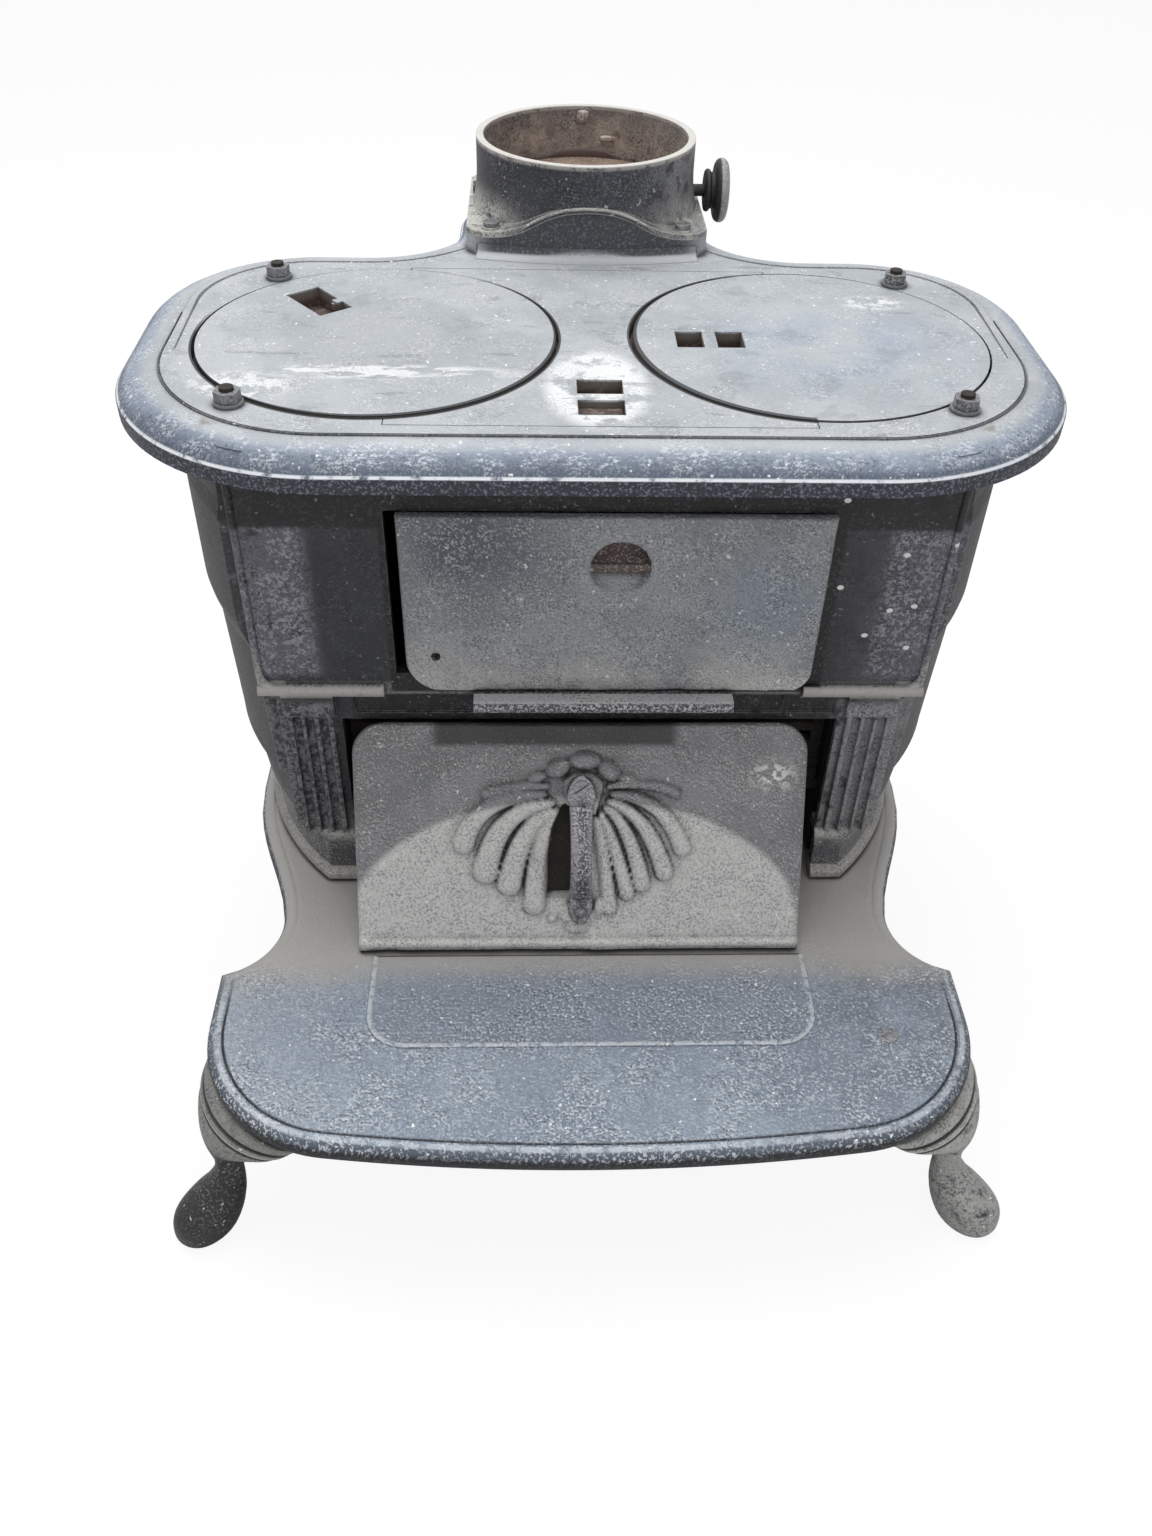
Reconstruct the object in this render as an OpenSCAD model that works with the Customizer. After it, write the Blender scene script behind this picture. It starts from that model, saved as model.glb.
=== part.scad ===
// Two-lid franklin stove of cast iron plates on cabriole legs.
// Millimetres, +Z up, floor at Z 0, front of the stove towards -Y.
// The origin is the middle of the overall box on the floor.

/* [Main heights] */
// Floor to the underside of the hearth edge
leg_h = 108; // [95:1:130]
// Height of the rounded hearth edge
hearth_t = 17; // [14:1:22]
// Hearth top to the lid plane
body_h = 335; // [325:1:370]

/* [Top plate] */
// Width of the top plate
top_w = 558; // [550:1:580]
// Depth of the top plate without its flue tongue
top_d = 304; // [300:1:320]
// Thickness of the top plate
top_t = 6; // [5:0.5:7]
// Plan radius of the front corners
front_corner_r = 130; // [120:1:136]
// Plan radius of the back corners
back_corner_r = 100; // [90:1:110]
// Width of the rounded rim
rim_w = 27; // [24:1:28]
// Drop of the rim from the lid plane to its lip
rim_drop = 12.4; // [10:0.2:15]
// Height of the lip under the rim
lip_h = 9; // [7:0.5:12]
// Thickness of the lip
lip_t = 5; // [4:0.5:6]

/* [Lids] */
// Radius of a lid
lid_r = 108; // [104:0.5:109]
// Distance of a lid's centre from the middle of the stove
lid_x = 130; // [128:0.5:133]
// Thickness of the lids and of the centre plate
lid_t = 8; // [7:0.5:10]
// Clearance round each lid
lid_gap = 0.8; // [0.5:0.1:1.2]
// How much smaller in radius a lid is than its place
lid_play = 1; // [0.5:0.1:1.2]
// Width of the seat under each lid
seat_w = 8; // [6:0.5:9]
// Thickness of the seats
seat_t = 5; // [4:0.5:7]
// Half width of the centre plate
centre_half_w = 117; // [112:1:119]
// Front edge of the centre plate ahead of the lid line
centre_front = 115; // [113:0.5:116]
// Back edge of the centre plate behind the lid line
centre_back = 111; // [110:0.5:113]
// Length of a lifter pocket
pocket_l = 41; // [36:1:44]
// Width of a lifter pocket
pocket_w = 23; // [20:1:26]
// Depth of a lifter pocket
pocket_d = 12; // [11:0.5:14]
// Width of the bar across a lifter pocket
pocket_bar = 8; // [6:0.5:10]
// Distance of a pocket from its lid's centre
lid_pocket_r = 60; // [50:1:66]

/* [Flue collar] */
// Outer radius of the collar, which a 6 inch pipe slips over
collar_r = 76; // [75:0.1:76.1]
// Wall of the collar
collar_wall = 5; // [4:0.5:5.5]
// Collar axis behind the lid line
collar_y = 203; // [202:0.5:206]
// Collar rim above the lid plane
collar_h = 60; // [56:1:70]
// Straight length of the collar below its rim
collar_straight = 20; // [16:1:22]
// Radius of the collar's flare
flare_r = 82; // [76:1:90]
// Ridge of the hump above the lid plane
saddle_h = 31; // [28:0.5:33]
// Flat lands of the seat above the lid plane
saddle_land = 12; // [10:0.5:13]
// Half width of the hump
ogee_w = 70; // [66:1:72]
// Half width of the raised seat
seat_half_w = 82; // [80:0.5:83]
// Front of the raised seat behind the lid line
saddle_front = 128; // [127:0.5:130]
// Thickness of the collar's flange
flange_t = 4; // [3:0.5:5]
// Half width of the tongue that carries the collar
tongue_half_w = 90; // [89:0.5:94]
// Damper axis above the lid plane
damper_z = 24; // [23:0.5:28]
// Radius of the damper plate
damper_r = 68.5; // [66:0.5:69]
// Radius of the damper shaft
shaft_r = 4; // [3:0.25:4.5]
// Radius of the damper knob
knob_r = 21; // [18:0.5:21]

/* [Body] */
// Distance of the front wall from the lid line
wall_y = 125; // [124:0.5:126]
// Thickness of the front and back plates
wall_t = 8; // [6:0.5:9]
// Thickness of the bowed side plates
side_t = 6; // [5:0.5:7]
// Distance of the axis of each bowed side from the middle
bow_x = 52; // [50:0.5:54]
// Radius of the bowed sides at their widest
bow_r = 199; // [196:0.5:200]
// Inward step at the foot of the sides
side_step = 7; // [5:0.5:8]
// Lid plane down to the top of the ledge moulding
ledge_drop = 166; // [160:1:170]
// Height of the ledge moulding
ledge_h = 8; // [6:0.5:10]
// Height of the plinth above the hearth
plinth_h = 43; // [38:1:48]

/* [Openings] */
// Width of the feed opening
feed_w = 240; // [220:1:242]
// Height of the feed opening
feed_h = 112; // [100:1:114]
// Lid plane down to the top of the feed opening
feed_drop = 46; // [44:1:50]
// Half width of the lower opening
hearth_half_w = 157; // [152:0.5:158]
// Lid plane down to the lintel of the lower opening
lintel_drop = 196; // [192:1:200]

/* [Lift-off plates] */
// Width of the feed plate
feed_plate_w = 246; // [244:1:250]
// Height of the feed plate
feed_plate_h = 131; // [129:1:132]
// Sideways shift of the feed plate
feed_shift = 10; // [0:0.5:11]
// Thickness of both lift-off plates
plate_t = 5; // [4:0.5:6]
// Width of the lower plate
lower_plate_w = 289; // [284:1:300]
// Length of the lower plate up its slope
lower_plate_l = 157; // [154:0.5:160]
// Sideways shift of the lower plate
lower_shift = -6.5; // [-10:0.5:0]
// Foot of the lower plate ahead of the lid line
lower_foot_y = 198; // [190:1:205]
// Standing height of the strap handle
strap_h = 15; // [12:0.5:18]
// Width of the strap handle
strap_w = 15; // [12:0.5:18]

/* [Hearth] */
// Half width of the hearth
hearth_half = 240; // [239:0.5:244]
// Plan radius of the hearth's corners
hearth_corner_r = 91; // [88:0.5:94]
// Front corners' centre ahead of the lid line
corner_front = 250; // [246:1:256]
// Back corners' centre behind the lid line
corner_back = 58; // [54:1:62]
// Front of the hearth ahead of the lid line
hearth_front = 350; // [350:0.5:354]
// Thickness of the hearth plate
hearth_plate_t = 7; // [6:0.5:9]
// Radius of the waist cut at each side
waist_r = 45; // [42:0.5:48]

/* [Legs] */
// Direction of a leg from the side axis
leg_turn = 35; // [30:1:40]
// Reach of the knee past the hearth edge
knee_out = 16; // [12:0.5:20]
// Reach of the foot past the hearth edge
foot_out = 48; // [40:1:54]
// Half width of the foot
foot_half_w = 20; // [16:0.5:22]

/* [Fire grate and linings] */
// Thickness of the linings
lining_t = 8; // [6:0.5:10]
// Top of the bottom grate above the hearth
grate_z = 73; // [66:1:80]
// Thickness of the bottom grate
grate_t = 10; // [8:0.5:14]
// Number of openings across the bottom grate
grate_slots = 9; // [7:1:11]

/* [Hidden] */
$fn = 96;

iron_top = "slategray";
iron_body = "dimgray";
iron_plate = "gray";
iron_dark = [0.22, 0.22, 0.23];
iron_rust = "sienna";
fit = 0.3;
eps = 0.01;

hearth_z = leg_h + hearth_t;
top_z = hearth_z + body_h;
plinth_z = hearth_z + plinth_h;
front_half_w = bow_x + sqrt(bow_r * bow_r - wall_y * wall_y) - 1.8;
lower_half_w = front_half_w - 9;
plinth_r = bow_r - 22;
lining_x = bow_r - 39;
half_w = top_w / 2;
half_d = top_d / 2;
front_corner = [half_w - front_corner_r, front_corner_r - half_d];
back_corner = [half_w - back_corner_r, half_d - back_corner_r];
tongue_fillet_r = 60;
tongue_fillet = [tongue_half_w + tongue_fillet_r, half_d + tongue_fillet_r];
tongue_back = collar_y + collar_r + 11;
tongue_corner_r = 60;
tongue_corner = [tongue_half_w - tongue_corner_r, tongue_back - tongue_corner_r];
rim_r = (rim_w * rim_w + rim_drop * rim_drop) / (2 * rim_drop);
rim_step = 0.8;
rim_h = rim_drop + lip_h;
wall_top = top_z - 9;
y_mid = (hearth_front - tongue_back) / 2;

// The whole stove stands over the middle of its own box.
module centred() {
    translate([0, y_mid, 0]) children();
}

// Copies its children to both sides of the middle.
module both_sides() {
    children();
    mirror([1, 0, 0]) children();
}

// An upright slab whose front face is at y, drawn in X and Z.
module upright(y, t) {
    translate([0, y + t, 0]) rotate([90, 0, 0]) linear_extrude(t) children();
}

// A closed skin over rings that all have as many points.
module skin(rings) {
    n = len(rings[0]);
    last = len(rings) - 1;
    sides = [for (k = [0:last - 1], i = [0:n - 1])
        [k * n + i, (k + 1) * n + i, (k + 1) * n + (i + 1) % n, k * n + (i + 1) % n]];
    foot = [for (i = [0:n - 1]) i];
    head = [for (i = [n - 1:-1:0]) last * n + i];
    polyhedron([for (r = rings) each r], concat([foot], sides, [head]), convexity = 6);
}

function arc(c, r, from, to, steps) =
    [for (i = [0:steps]) c + r * [cos(from + (to - from) * i / steps), sin(from + (to - from) * i / steps)]];

// Plan of the top plate, drawn inside its outline by inset.
module top_outline(inset = 0) {
    both_sides() {
        translate(front_corner) circle(front_corner_r - inset);
        translate(back_corner) circle(back_corner_r - inset);
        translate(tongue_corner) circle(tongue_corner_r - inset);
        translate([-eps, front_corner.y])
            square([half_w - inset + eps, back_corner.y - front_corner.y]);
        translate([-eps, -half_d + inset]) square([front_corner.x + eps, half_d]);
        translate([-eps, -eps]) square([back_corner.x + eps, half_d - inset + eps]);
        translate([-eps, 0]) square([tongue_half_w - inset + eps, tongue_corner.y]);
        translate([-eps, 0]) square([tongue_corner.x + eps, tongue_back - inset]);
        difference() {
            translate([-eps, half_d / 2]) square([tongue_fillet.x + eps, tongue_fillet.y - half_d / 2]);
            translate(tongue_fillet) circle(tongue_fillet_r + inset);
        }
    }
}

// Section of the rounded rim, from the outline inwards.
module rim_section() {
    difference() {
        intersection() {
            translate([rim_w, -rim_r - rim_step]) circle(rim_r);
            translate([0, -rim_h]) square([rim_w + eps, rim_h]);
        }
        intersection() {
            translate([rim_w, -rim_r - rim_step]) circle(rim_r - top_t);
            translate([lip_t, -rim_h - 1]) square([rim_w, rim_h]);
        }
    }
}

// Rim along a straight edge that starts at p and runs in direction turn.
module rim_straight(p, turn, length) {
    translate([p.x, p.y, top_z]) rotate(turn) rotate([90, 0, 90]) linear_extrude(length) rim_section();
}

// Rim round an outward corner.
module rim_corner(c, r, from, sweep) {
    translate([c.x, c.y, top_z]) rotate(from) rotate_extrude(angle = sweep)
        translate([r, 0]) mirror([1, 0]) rim_section();
}

// Rim round an inward corner.
module rim_hollow(c, r, from, sweep) {
    translate([c.x, c.y, top_z]) rotate(from) rotate_extrude(angle = sweep)
        translate([r, 0]) rim_section();
}

module rim() {
    rim_straight([-front_corner.x, -half_d], 0, 2 * front_corner.x);
    both_sides() {
        rim_corner(front_corner, front_corner_r, -90, 90);
        rim_straight([half_w, front_corner.y], 90, back_corner.y - front_corner.y);
        rim_corner(back_corner, back_corner_r, 0, 90);
        rim_straight([back_corner.x, half_d], 180, back_corner.x - tongue_fillet.x);
        rim_hollow(tongue_fillet, tongue_fillet_r, 180, 90);
        rim_straight([tongue_half_w, tongue_fillet.y], 90, tongue_corner.y - tongue_fillet.y);
        rim_corner(tongue_corner, tongue_corner_r, 0, 90);
    }
    rim_straight([tongue_corner.x, tongue_back], 180, 2 * tongue_corner.x);
}

// Ogee of the hump: two arcs of one radius that meet halfway up.
saddle_rise = saddle_h - saddle_land;
ogee_r = (ogee_w * ogee_w + saddle_rise * saddle_rise) / (4 * saddle_rise);
saddle_bow_r = 307;
skirt_drop = 17;
bore_r = collar_r - collar_wall;

// Section of the seat below a skin lifted from its face, drawn in X and Z.
module saddle_profile(lift, bottom) {
    meet_x = ogee_w / 2 * (1 + lift / ogee_r);
    meet_z = saddle_land + saddle_rise / 2 + lift;
    intersection() {
        translate([0, saddle_h - ogee_r]) circle(ogee_r + lift, $fn = 180);
        translate([-meet_x - 6, bottom]) square([2 * meet_x + 12, 200]);
    }
    both_sides() {
        difference() {
            translate([meet_x - 4, bottom]) square([ogee_w - meet_x + 4, meet_z - bottom]);
            translate([ogee_w, saddle_land + ogee_r]) circle(ogee_r - lift + 0.1, $fn = 180);
        }
        translate([ogee_w - 8, bottom]) square([seat_half_w - ogee_w + 9, saddle_land + lift - bottom]);
    }
}

// Plan of the raised seat, with its bowed front and trimmed corners.
module saddle_plan(inset = 0) {
    intersection() {
        top_outline(4 + inset);
        translate([-seat_half_w + inset, 0]) square([2 * (seat_half_w - inset), 2 * tongue_back]);
        translate([0, saddle_front + inset + saddle_bow_r]) circle(saddle_bow_r, $fn = 180);
        translate([0, collar_y]) circle(100 - inset);
    }
}

module saddle_body(lift, bottom, inset) {
    intersection() {
        translate([0, 0, top_z]) upright(saddle_front - 10, tongue_back - saddle_front + 20)
            saddle_profile(lift, bottom);
        translate([0, 0, top_z - 60]) linear_extrude(160) saddle_plan(inset);
    }
}

// Cove between the plate and the front of the seat.
cove_r = 8;
module saddle_cove() {
    turn = asin((seat_half_w - 8) / saddle_bow_r);
    translate([0, saddle_front + saddle_bow_r, top_z]) rotate(-90 - turn)
        rotate_extrude(angle = 2 * turn) difference() {
            translate([saddle_bow_r - 2, -1]) square([cove_r + 2, cove_r + 1]);
            translate([saddle_bow_r + cove_r + 0.5, cove_r + 0.5]) circle(cove_r);
        }
}

// Skirt under the seat, which closes on the flue box.
module saddle_skirt() {
    translate([0, 0, top_z - skirt_drop]) linear_extrude(skirt_drop - 2) {
        difference() {
            saddle_plan(2);
            saddle_plan(10);
            translate([-seat_half_w + 10, 0]) square([2 * seat_half_w - 20, wall_y + 32]);
        }
        translate([-seat_half_w + 2, wall_y]) square([2 * seat_half_w - 4, 6]);
        both_sides() translate([seat_half_w - 10, wall_y]) square([8, 19]);
    }
}

// Corners of the top plate that carry the four studs.
washer_r = 8.4;
stud_reach = lid_r + 8.8;
stud_turn = 51.9;
stud_x = lid_x + stud_reach * cos(stud_turn);
stud_y = stud_reach * sin(stud_turn);
stud_hole_r = 4.5;
module at_studs() {
    for (sx = [-1, 1], sy = [-1, 1]) translate([sx * stud_x, sy * stud_y, 0]) children();
}

module lid_circles(r) {
    both_sides() translate([lid_x, 0]) circle(r);
}

module centre_rect(margin) {
    translate([-centre_half_w - margin, -centre_front - margin])
        square([2 * (centre_half_w + margin), centre_front + centre_back + 2 * margin]);
}

// Ring under the walls, where the top plate sits on them.
module wall_ring(grow = 0) {
    difference() {
        both_sides() translate([bow_x, 0]) circle(bow_r + grow);
        both_sides() intersection() {
            translate([bow_x, 0]) circle(bow_r - side_t - grow);
            translate([0, -500]) square([500, 1000]);
        }
        translate([-bow_x, -500]) square([2 * bow_x, 1000]);
    }
}

module top_plate() {
    color(iron_top) centred() difference() {
        union() {
            translate([0, 0, top_z - top_t]) linear_extrude(top_t) top_outline(rim_w);
            rim();
            translate([0, 0, top_z - lid_t - seat_t]) linear_extrude(lid_t + seat_t - 1) {
                lid_circles(lid_r + lid_gap + 3);
                centre_rect(1.2);
            }
            translate([0, 0, wall_top]) linear_extrude(top_z - wall_top - top_t + 1) intersection() {
                wall_seat();
                top_outline(9);
            }
            saddle_body(0, -top_t, 0);
            saddle_cove();
            saddle_skirt();
        }
        translate([0, 0, top_z - lid_t]) linear_extrude(lid_t + 1) {
            lid_circles(lid_r + lid_gap);
            centre_rect(0.5);
        }
        translate([0, 0, top_z - 30]) linear_extrude(40) {
            lid_circles(lid_r - seat_w);
            centre_rect(-seat_w);
        }
        translate([0, 0, top_z - 40]) linear_extrude(40 + saddle_land - top_t) saddle_plan(10);
        translate([0, collar_y, top_z - 40]) cylinder(r = bore_r, h = 90);
        at_studs() translate([0, 0, top_z - 20]) cylinder(r = stud_hole_r, h = 30);
        at_collar_bolts() translate([0, 0, top_z - 40]) cylinder(r = collar_bolt_r + 0.2, h = 80);
    }
}

// The strips of the top plate's underside that meet the walls.
module wall_seat() {
    wall_ring();
    translate([-front_half_w, -wall_y]) square([2 * front_half_w, wall_t]);
    translate([-front_half_w, wall_y - wall_t]) square([2 * front_half_w, wall_t]);
}

// A lifter pocket's cup, below the upper face at z 0, its length along X.
module pocket_cup(l, w) {
    translate([-l / 2 - 3, -w / 2 - 3, -pocket_d - 3]) cube([l + 6, w + 6, pocket_d + 3]);
}

module pocket_hollow(l, w) {
    difference() {
        translate([-l / 2, -w / 2, -pocket_d]) cube([l, w, pocket_d + 1]);
        translate([-pocket_bar / 2, -w / 2 - 1, -5]) cube([pocket_bar, w + 2, 5]);
    }
}

// The same hollow with its bar broken off to a stub.
module broken_hollow(l, w) {
    difference() {
        translate([-l / 2, -w / 2, -pocket_d]) cube([l, w, pocket_d + 1]);
        translate([-9, -w / 2 - 1, -5]) cube([6, 5.2, 5]);
        translate([-8, -w / 2 + 4, -5]) cube([3.4, 1.8, 4]);
    }
}

// A lid without its hollow, the disc moved a little in its place.
module lid(pocket_turn, pocket_r, shift) {
    difference() {
        union() {
            translate([shift[0], shift[1], -lid_t]) cylinder(r = lid_r - lid_play, h = lid_t);
            rotate(pocket_turn) translate([pocket_r, 0, 0]) pocket_cup(pocket_l, pocket_w);
        }
        difference() {
            translate([shift[0], shift[1], -lid_t - 1]) cylinder(r = lid_r - seat_w - 4, h = 3);
            rotate(pocket_turn) translate([pocket_r, 0, 0]) pocket_cup(pocket_l, pocket_w);
        }
    }
}

module left_lid() {
    color(iron_top) centred() translate([-lid_x, 0, top_z]) difference() {
        lid(128, lid_pocket_r + 7, [0, 1.6 * lid_play]);
        rotate(128) translate([lid_pocket_r + 7, 0, 0]) broken_hollow(pocket_l, pocket_w);
    }
}

module right_lid() {
    color(iron_top) centred() translate([lid_x, 0, top_z]) difference() {
        lid(180, lid_pocket_r, [0.8 * lid_play, 0.8 * lid_play]);
        rotate(180) translate([lid_pocket_r, 0, 0]) pocket_hollow(pocket_l, pocket_w);
    }
}

centre_pocket = [0.8, -79.6];
centre_pocket_l = 44;
centre_pocket_w = 26;
module centre_plate() {
    color(iron_top) centred() translate([0, 0, top_z]) difference() {
        union() {
            translate([0, 0, -lid_t]) linear_extrude(lid_t) difference() {
                centre_rect(0);
                lid_circles(lid_r + lid_gap);
            }
            translate([0, 0, -lid_t - seat_t]) linear_extrude(seat_t) difference() {
                centre_rect(-seat_w - lid_gap);
                lid_circles(lid_r - seat_w);
            }
            translate(centre_pocket) rotate(90) pocket_cup(centre_pocket_l, centre_pocket_w);
        }
        translate(centre_pocket) rotate(90) pocket_hollow(centre_pocket_l, centre_pocket_w);
    }
}

// Bolts of the collar's flange.
collar_bolt_r = 3;
collar_bolt_x = 65;
collar_bolt_y = 60;
pad_top = top_z + saddle_land + flange_t + 1.6;
module at_collar_bolts() {
    for (sx = [-1, 1], sy = [-1, 1])
        translate([sx * collar_bolt_x, collar_y + sy * collar_bolt_y, 0]) children();
}

module flue_collar() {
    color(iron_dark) centred() difference() {
        union() {
            difference() {
                union() {
                    saddle_body(flange_t, 0, 0);
                    translate([0, collar_y, top_z]) rotate_extrude() difference() {
                        translate([0, saddle_land - 3]) square([collar_r + 12, collar_h - saddle_land + 3]);
                        translate([collar_r + flare_r, collar_h - collar_straight]) circle(flare_r);
                        translate([collar_r, collar_h - collar_straight]) square([40, 40]);
                    }
                }
                saddle_body(0, -20, -20);
            }
            at_collar_bolts() translate([0, 0, top_z + saddle_land + 2]) cylinder(r = 6.5, h = flange_t - 0.4);
        }
        translate([0, collar_y, top_z - 30]) cylinder(r = bore_r, h = 110);
        damper_axis() translate([0, 0, -120]) cylinder(r = shaft_r + 0.05, h = 240);
        at_collar_bolts() translate([0, 0, top_z - 40]) cylinder(r = collar_bolt_r + 0.2, h = 80);
    }
}

module collar_bolts() {
    color(iron_rust) centred() at_collar_bolts() {
        translate([0, 0, pad_top - 24]) cylinder(r = collar_bolt_r, h = 25);
        translate([0, 0, pad_top]) difference() {
            cylinder(r = 5.5, h = 3);
            translate([-7, -0.6, 2]) cube([14, 1.2, 2]);
        }
    }
}

module damper_axis() {
    translate([0, collar_y, top_z + damper_z]) rotate([0, 90, 0]) children();
}

module damper_plate() {
    color(iron_rust) centred() difference() {
        union() {
            translate([0, collar_y, top_z + damper_z - 1.5]) cylinder(r = damper_r, h = 3);
            damper_axis() translate([0, 0, -45]) cylinder(r = shaft_r + 3, h = 90);
        }
        damper_axis() translate([0, 0, -100]) cylinder(r = shaft_r + fit / 2, h = 200);
    }
}

knob_x = seat_half_w + 3;
module damper_shaft() {
    color(iron_rust) centred() damper_axis() translate([0, 0, -collar_r - 3])
        cylinder(r = shaft_r, h = collar_r + 3 + knob_x + 8);
}

module damper_knob() {
    color(iron_dark) centred() damper_axis() translate([0, 0, knob_x]) difference() {
        rotate_extrude() {
            difference() {
                union() {
                    square([7, 12]);
                    translate([0, 7]) square([knob_r - 4, 9]);
                    translate([knob_r - 4.5, 11.5]) circle(4.5);
                    translate([12, 2]) circle(2);
                    square([12, 4]);
                    translate([10, 4]) square([2, 3]);
                }
                translate([-10, -10]) square([10, 40]);
                translate([0, 16 + 42]) circle(44);
            }
        }
        translate([0, 0, -1]) cylinder(r = shaft_r + fit / 2, h = 9.3);
    }
}

module top_studs() {
    color(iron_rust) centred() at_studs() translate([0, 0, top_z - 38]) cylinder(r = 4, h = 48);
}

washer_t = 2;
nut_t = 6;
module top_washers() {
    color(iron_rust) centred() at_studs() translate([0, 0, top_z]) difference() {
        cylinder(r = washer_r, h = washer_t);
        translate([0, 0, -1]) cylinder(r = 4.2, h = 5);
    }
}

module top_nuts() {
    color(iron_dark) centred() at_studs() translate([0, 0, top_z + washer_t]) difference() {
        rotate(20) cylinder(r = 7.5, h = nut_t, $fn = 6);
        translate([0, 0, -1]) cylinder(r = 4.05, h = nut_t + 2);
    }
}

// Outline of the side plate's section, from the foot to the top.
foot_z = plinth_z;
step_z = foot_z + 50;
module side_section() {
    low = bow_r - 8;
    polygon(concat(
        [[low - side_step - 8, foot_z], [low - side_step - 1.4, foot_z + 8]],
        [[low - side_step, foot_z + 21], [low - side_step, step_z - 9], [low, step_z]],
        [for (i = [0:6]) [low + 3 * i / 6 , step_z + 8 + (top_z - 146 - step_z - 8) * i / 6]],
        [[bow_r - 1, top_z - 132], [bow_r, top_z - 126], [bow_r, top_z - 55], [bow_r - 2, top_z - 44]],
        [[bow_r - 2, wall_top], [bow_r - 2 - side_t, wall_top], [bow_r - 2 - side_t, top_z - 140]],
        [[low - side_t, step_z + 4], [low - side_step - side_t, step_z - 8]],
        [[low - side_step - side_t, foot_z + 8], [plinth_r - 20, foot_z + 8], [plinth_r - 20, foot_z]]
    ));
}

side_end = wall_y - wall_t;
lug_h = 26;
module side_plate() {
    difference() {
        union() {
            intersection() {
                translate([bow_x, 0, 0]) rotate(-60) rotate_extrude(angle = 120) side_section();
                translate([0, -side_end, 0]) cube([400, 2 * side_end, 900]);
            }
            for (sy = [-1, 1]) intersection() {
                translate([front_half_w - 17, sy > 0 ? side_end - 7 : -side_end, foot_z])
                    cube([30, 7, wall_top - foot_z]);
                translate([bow_x, 0, 0]) rotate(-60) rotate_extrude(angle = 120) side_room();
            }
            for (sy = [-1, 1]) intersection() {
                translate([stud_x, sy * stud_y - 10, wall_top - lug_h]) cube([90, 20, lug_h]);
                translate([bow_x, 0, 0]) rotate(-60) rotate_extrude(angle = 120) side_room();
            }
            for (sy = [-1, 1]) translate([stud_x, sy * stud_y, wall_top - lug_h]) cylinder(r = 10, h = lug_h);
        }
        translate([lid_x, 0, top_z - lid_t - seat_t - fit]) cylinder(r = lid_r + lid_gap + 3 + fit, h = 60);
        for (sy = [-1, 1]) translate([stud_x, sy * stud_y, wall_top - lug_h - 10]) cylinder(r = 4 + fit / 2, h = 60);
        at_side_bolts() cylinder(r = side_bolt_r, h = 60, center = true);
    }
}

// All that lies inside the side plate's outer face.
module side_room() {
    low = bow_r - 8;
    polygon([[60, foot_z], [low - side_step - 8, foot_z], [low - side_step - 1.4, foot_z + 8],
        [low - side_step, foot_z + 21], [low - side_step, step_z - 9], [low, step_z],
        [low + 1, top_z - 146], [bow_r - 2, top_z - 126], [bow_r - 2, wall_top], [60, wall_top]]);
}

side_bolt_r = 3.5;
module at_side_bolts() {
    for (a = [-24, 24]) translate([bow_x, 0, 0]) rotate(a) translate([plinth_r - 14, 0, foot_z + 8]) children();
}

module right_side() {
    color(iron_body) centred() side_plate();
}

module left_side() {
    color(iron_body) centred() mirror([1, 0, 0]) side_plate();
}

module side_foot_bolts() {
    color(iron_rust) centred() both_sides() at_side_bolts() {
        translate([0, 0, -18]) cylinder(r = side_bolt_r - fit / 2, h = 19);
        cylinder(r = 6.5, h = 5, $fn = 6);
    }
}

// Front plate.
feed_top = top_z - feed_drop;
feed_bottom = feed_top - feed_h;
ledge_z = top_z - ledge_drop;
lintel_z = top_z - lintel_drop;
recess = 3;
pilaster_out = hearth_half_w + 33;
ledge_out = 5;
flute_r = 3;
module front_frame() {
    color(iron_body) centred() {
        difference() {
            union() {
                upright(-wall_y, wall_t) difference() {
                    translate([-front_half_w, ledge_z - ledge_h])
                        square([2 * front_half_w, wall_top - ledge_z + ledge_h]);
                    translate([-feed_w / 2, feed_bottom]) square([feed_w, feed_h]);
                }
                upright(-wall_y + recess, wall_t - recess) difference() {
                    translate([-lower_half_w, plinth_z]) square([2 * lower_half_w, ledge_z - plinth_z]);
                    translate([-hearth_half_w, plinth_z - 1])
                        square([2 * hearth_half_w, lintel_z - plinth_z + 1]);
                }
                both_sides() pilaster();
                ledge(-front_half_w, -feed_w / 2 - 8);
                ledge(feed_plate_w / 2 + feed_shift + 4, front_half_w);
                both_sides() translate([front_half_w - 2, -wall_y, ledge_z]) cylinder(r = 2, h = wall_top - ledge_z - 3);
            }
            both_sides() translate([front_half_w - 7, -wall_y - 10, wall_top - 3]) cube([20, 30, 10]);
            for (p = [[-148, 90], [-50, 100], [58, 62], [124, 30]])
                translate([p[0], -wall_y + recess - 1, lintel_z + 5]) cube([p[1], 2.5, ledge_z - ledge_h - lintel_z - 8]);
            rail_screw_holes();
        }
    }
}

module ledge(x0, x1) {
    translate([x0, -wall_y - ledge_out + ledge_h / 2, ledge_z - ledge_h / 2])
        rotate([0, 90, 0]) cylinder(r = ledge_h / 2, h = x1 - x0);
    translate([x0, -wall_y - ledge_out + ledge_h / 2, ledge_z - ledge_h])
        cube([x1 - x0, ledge_out, ledge_h]);
}

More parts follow.
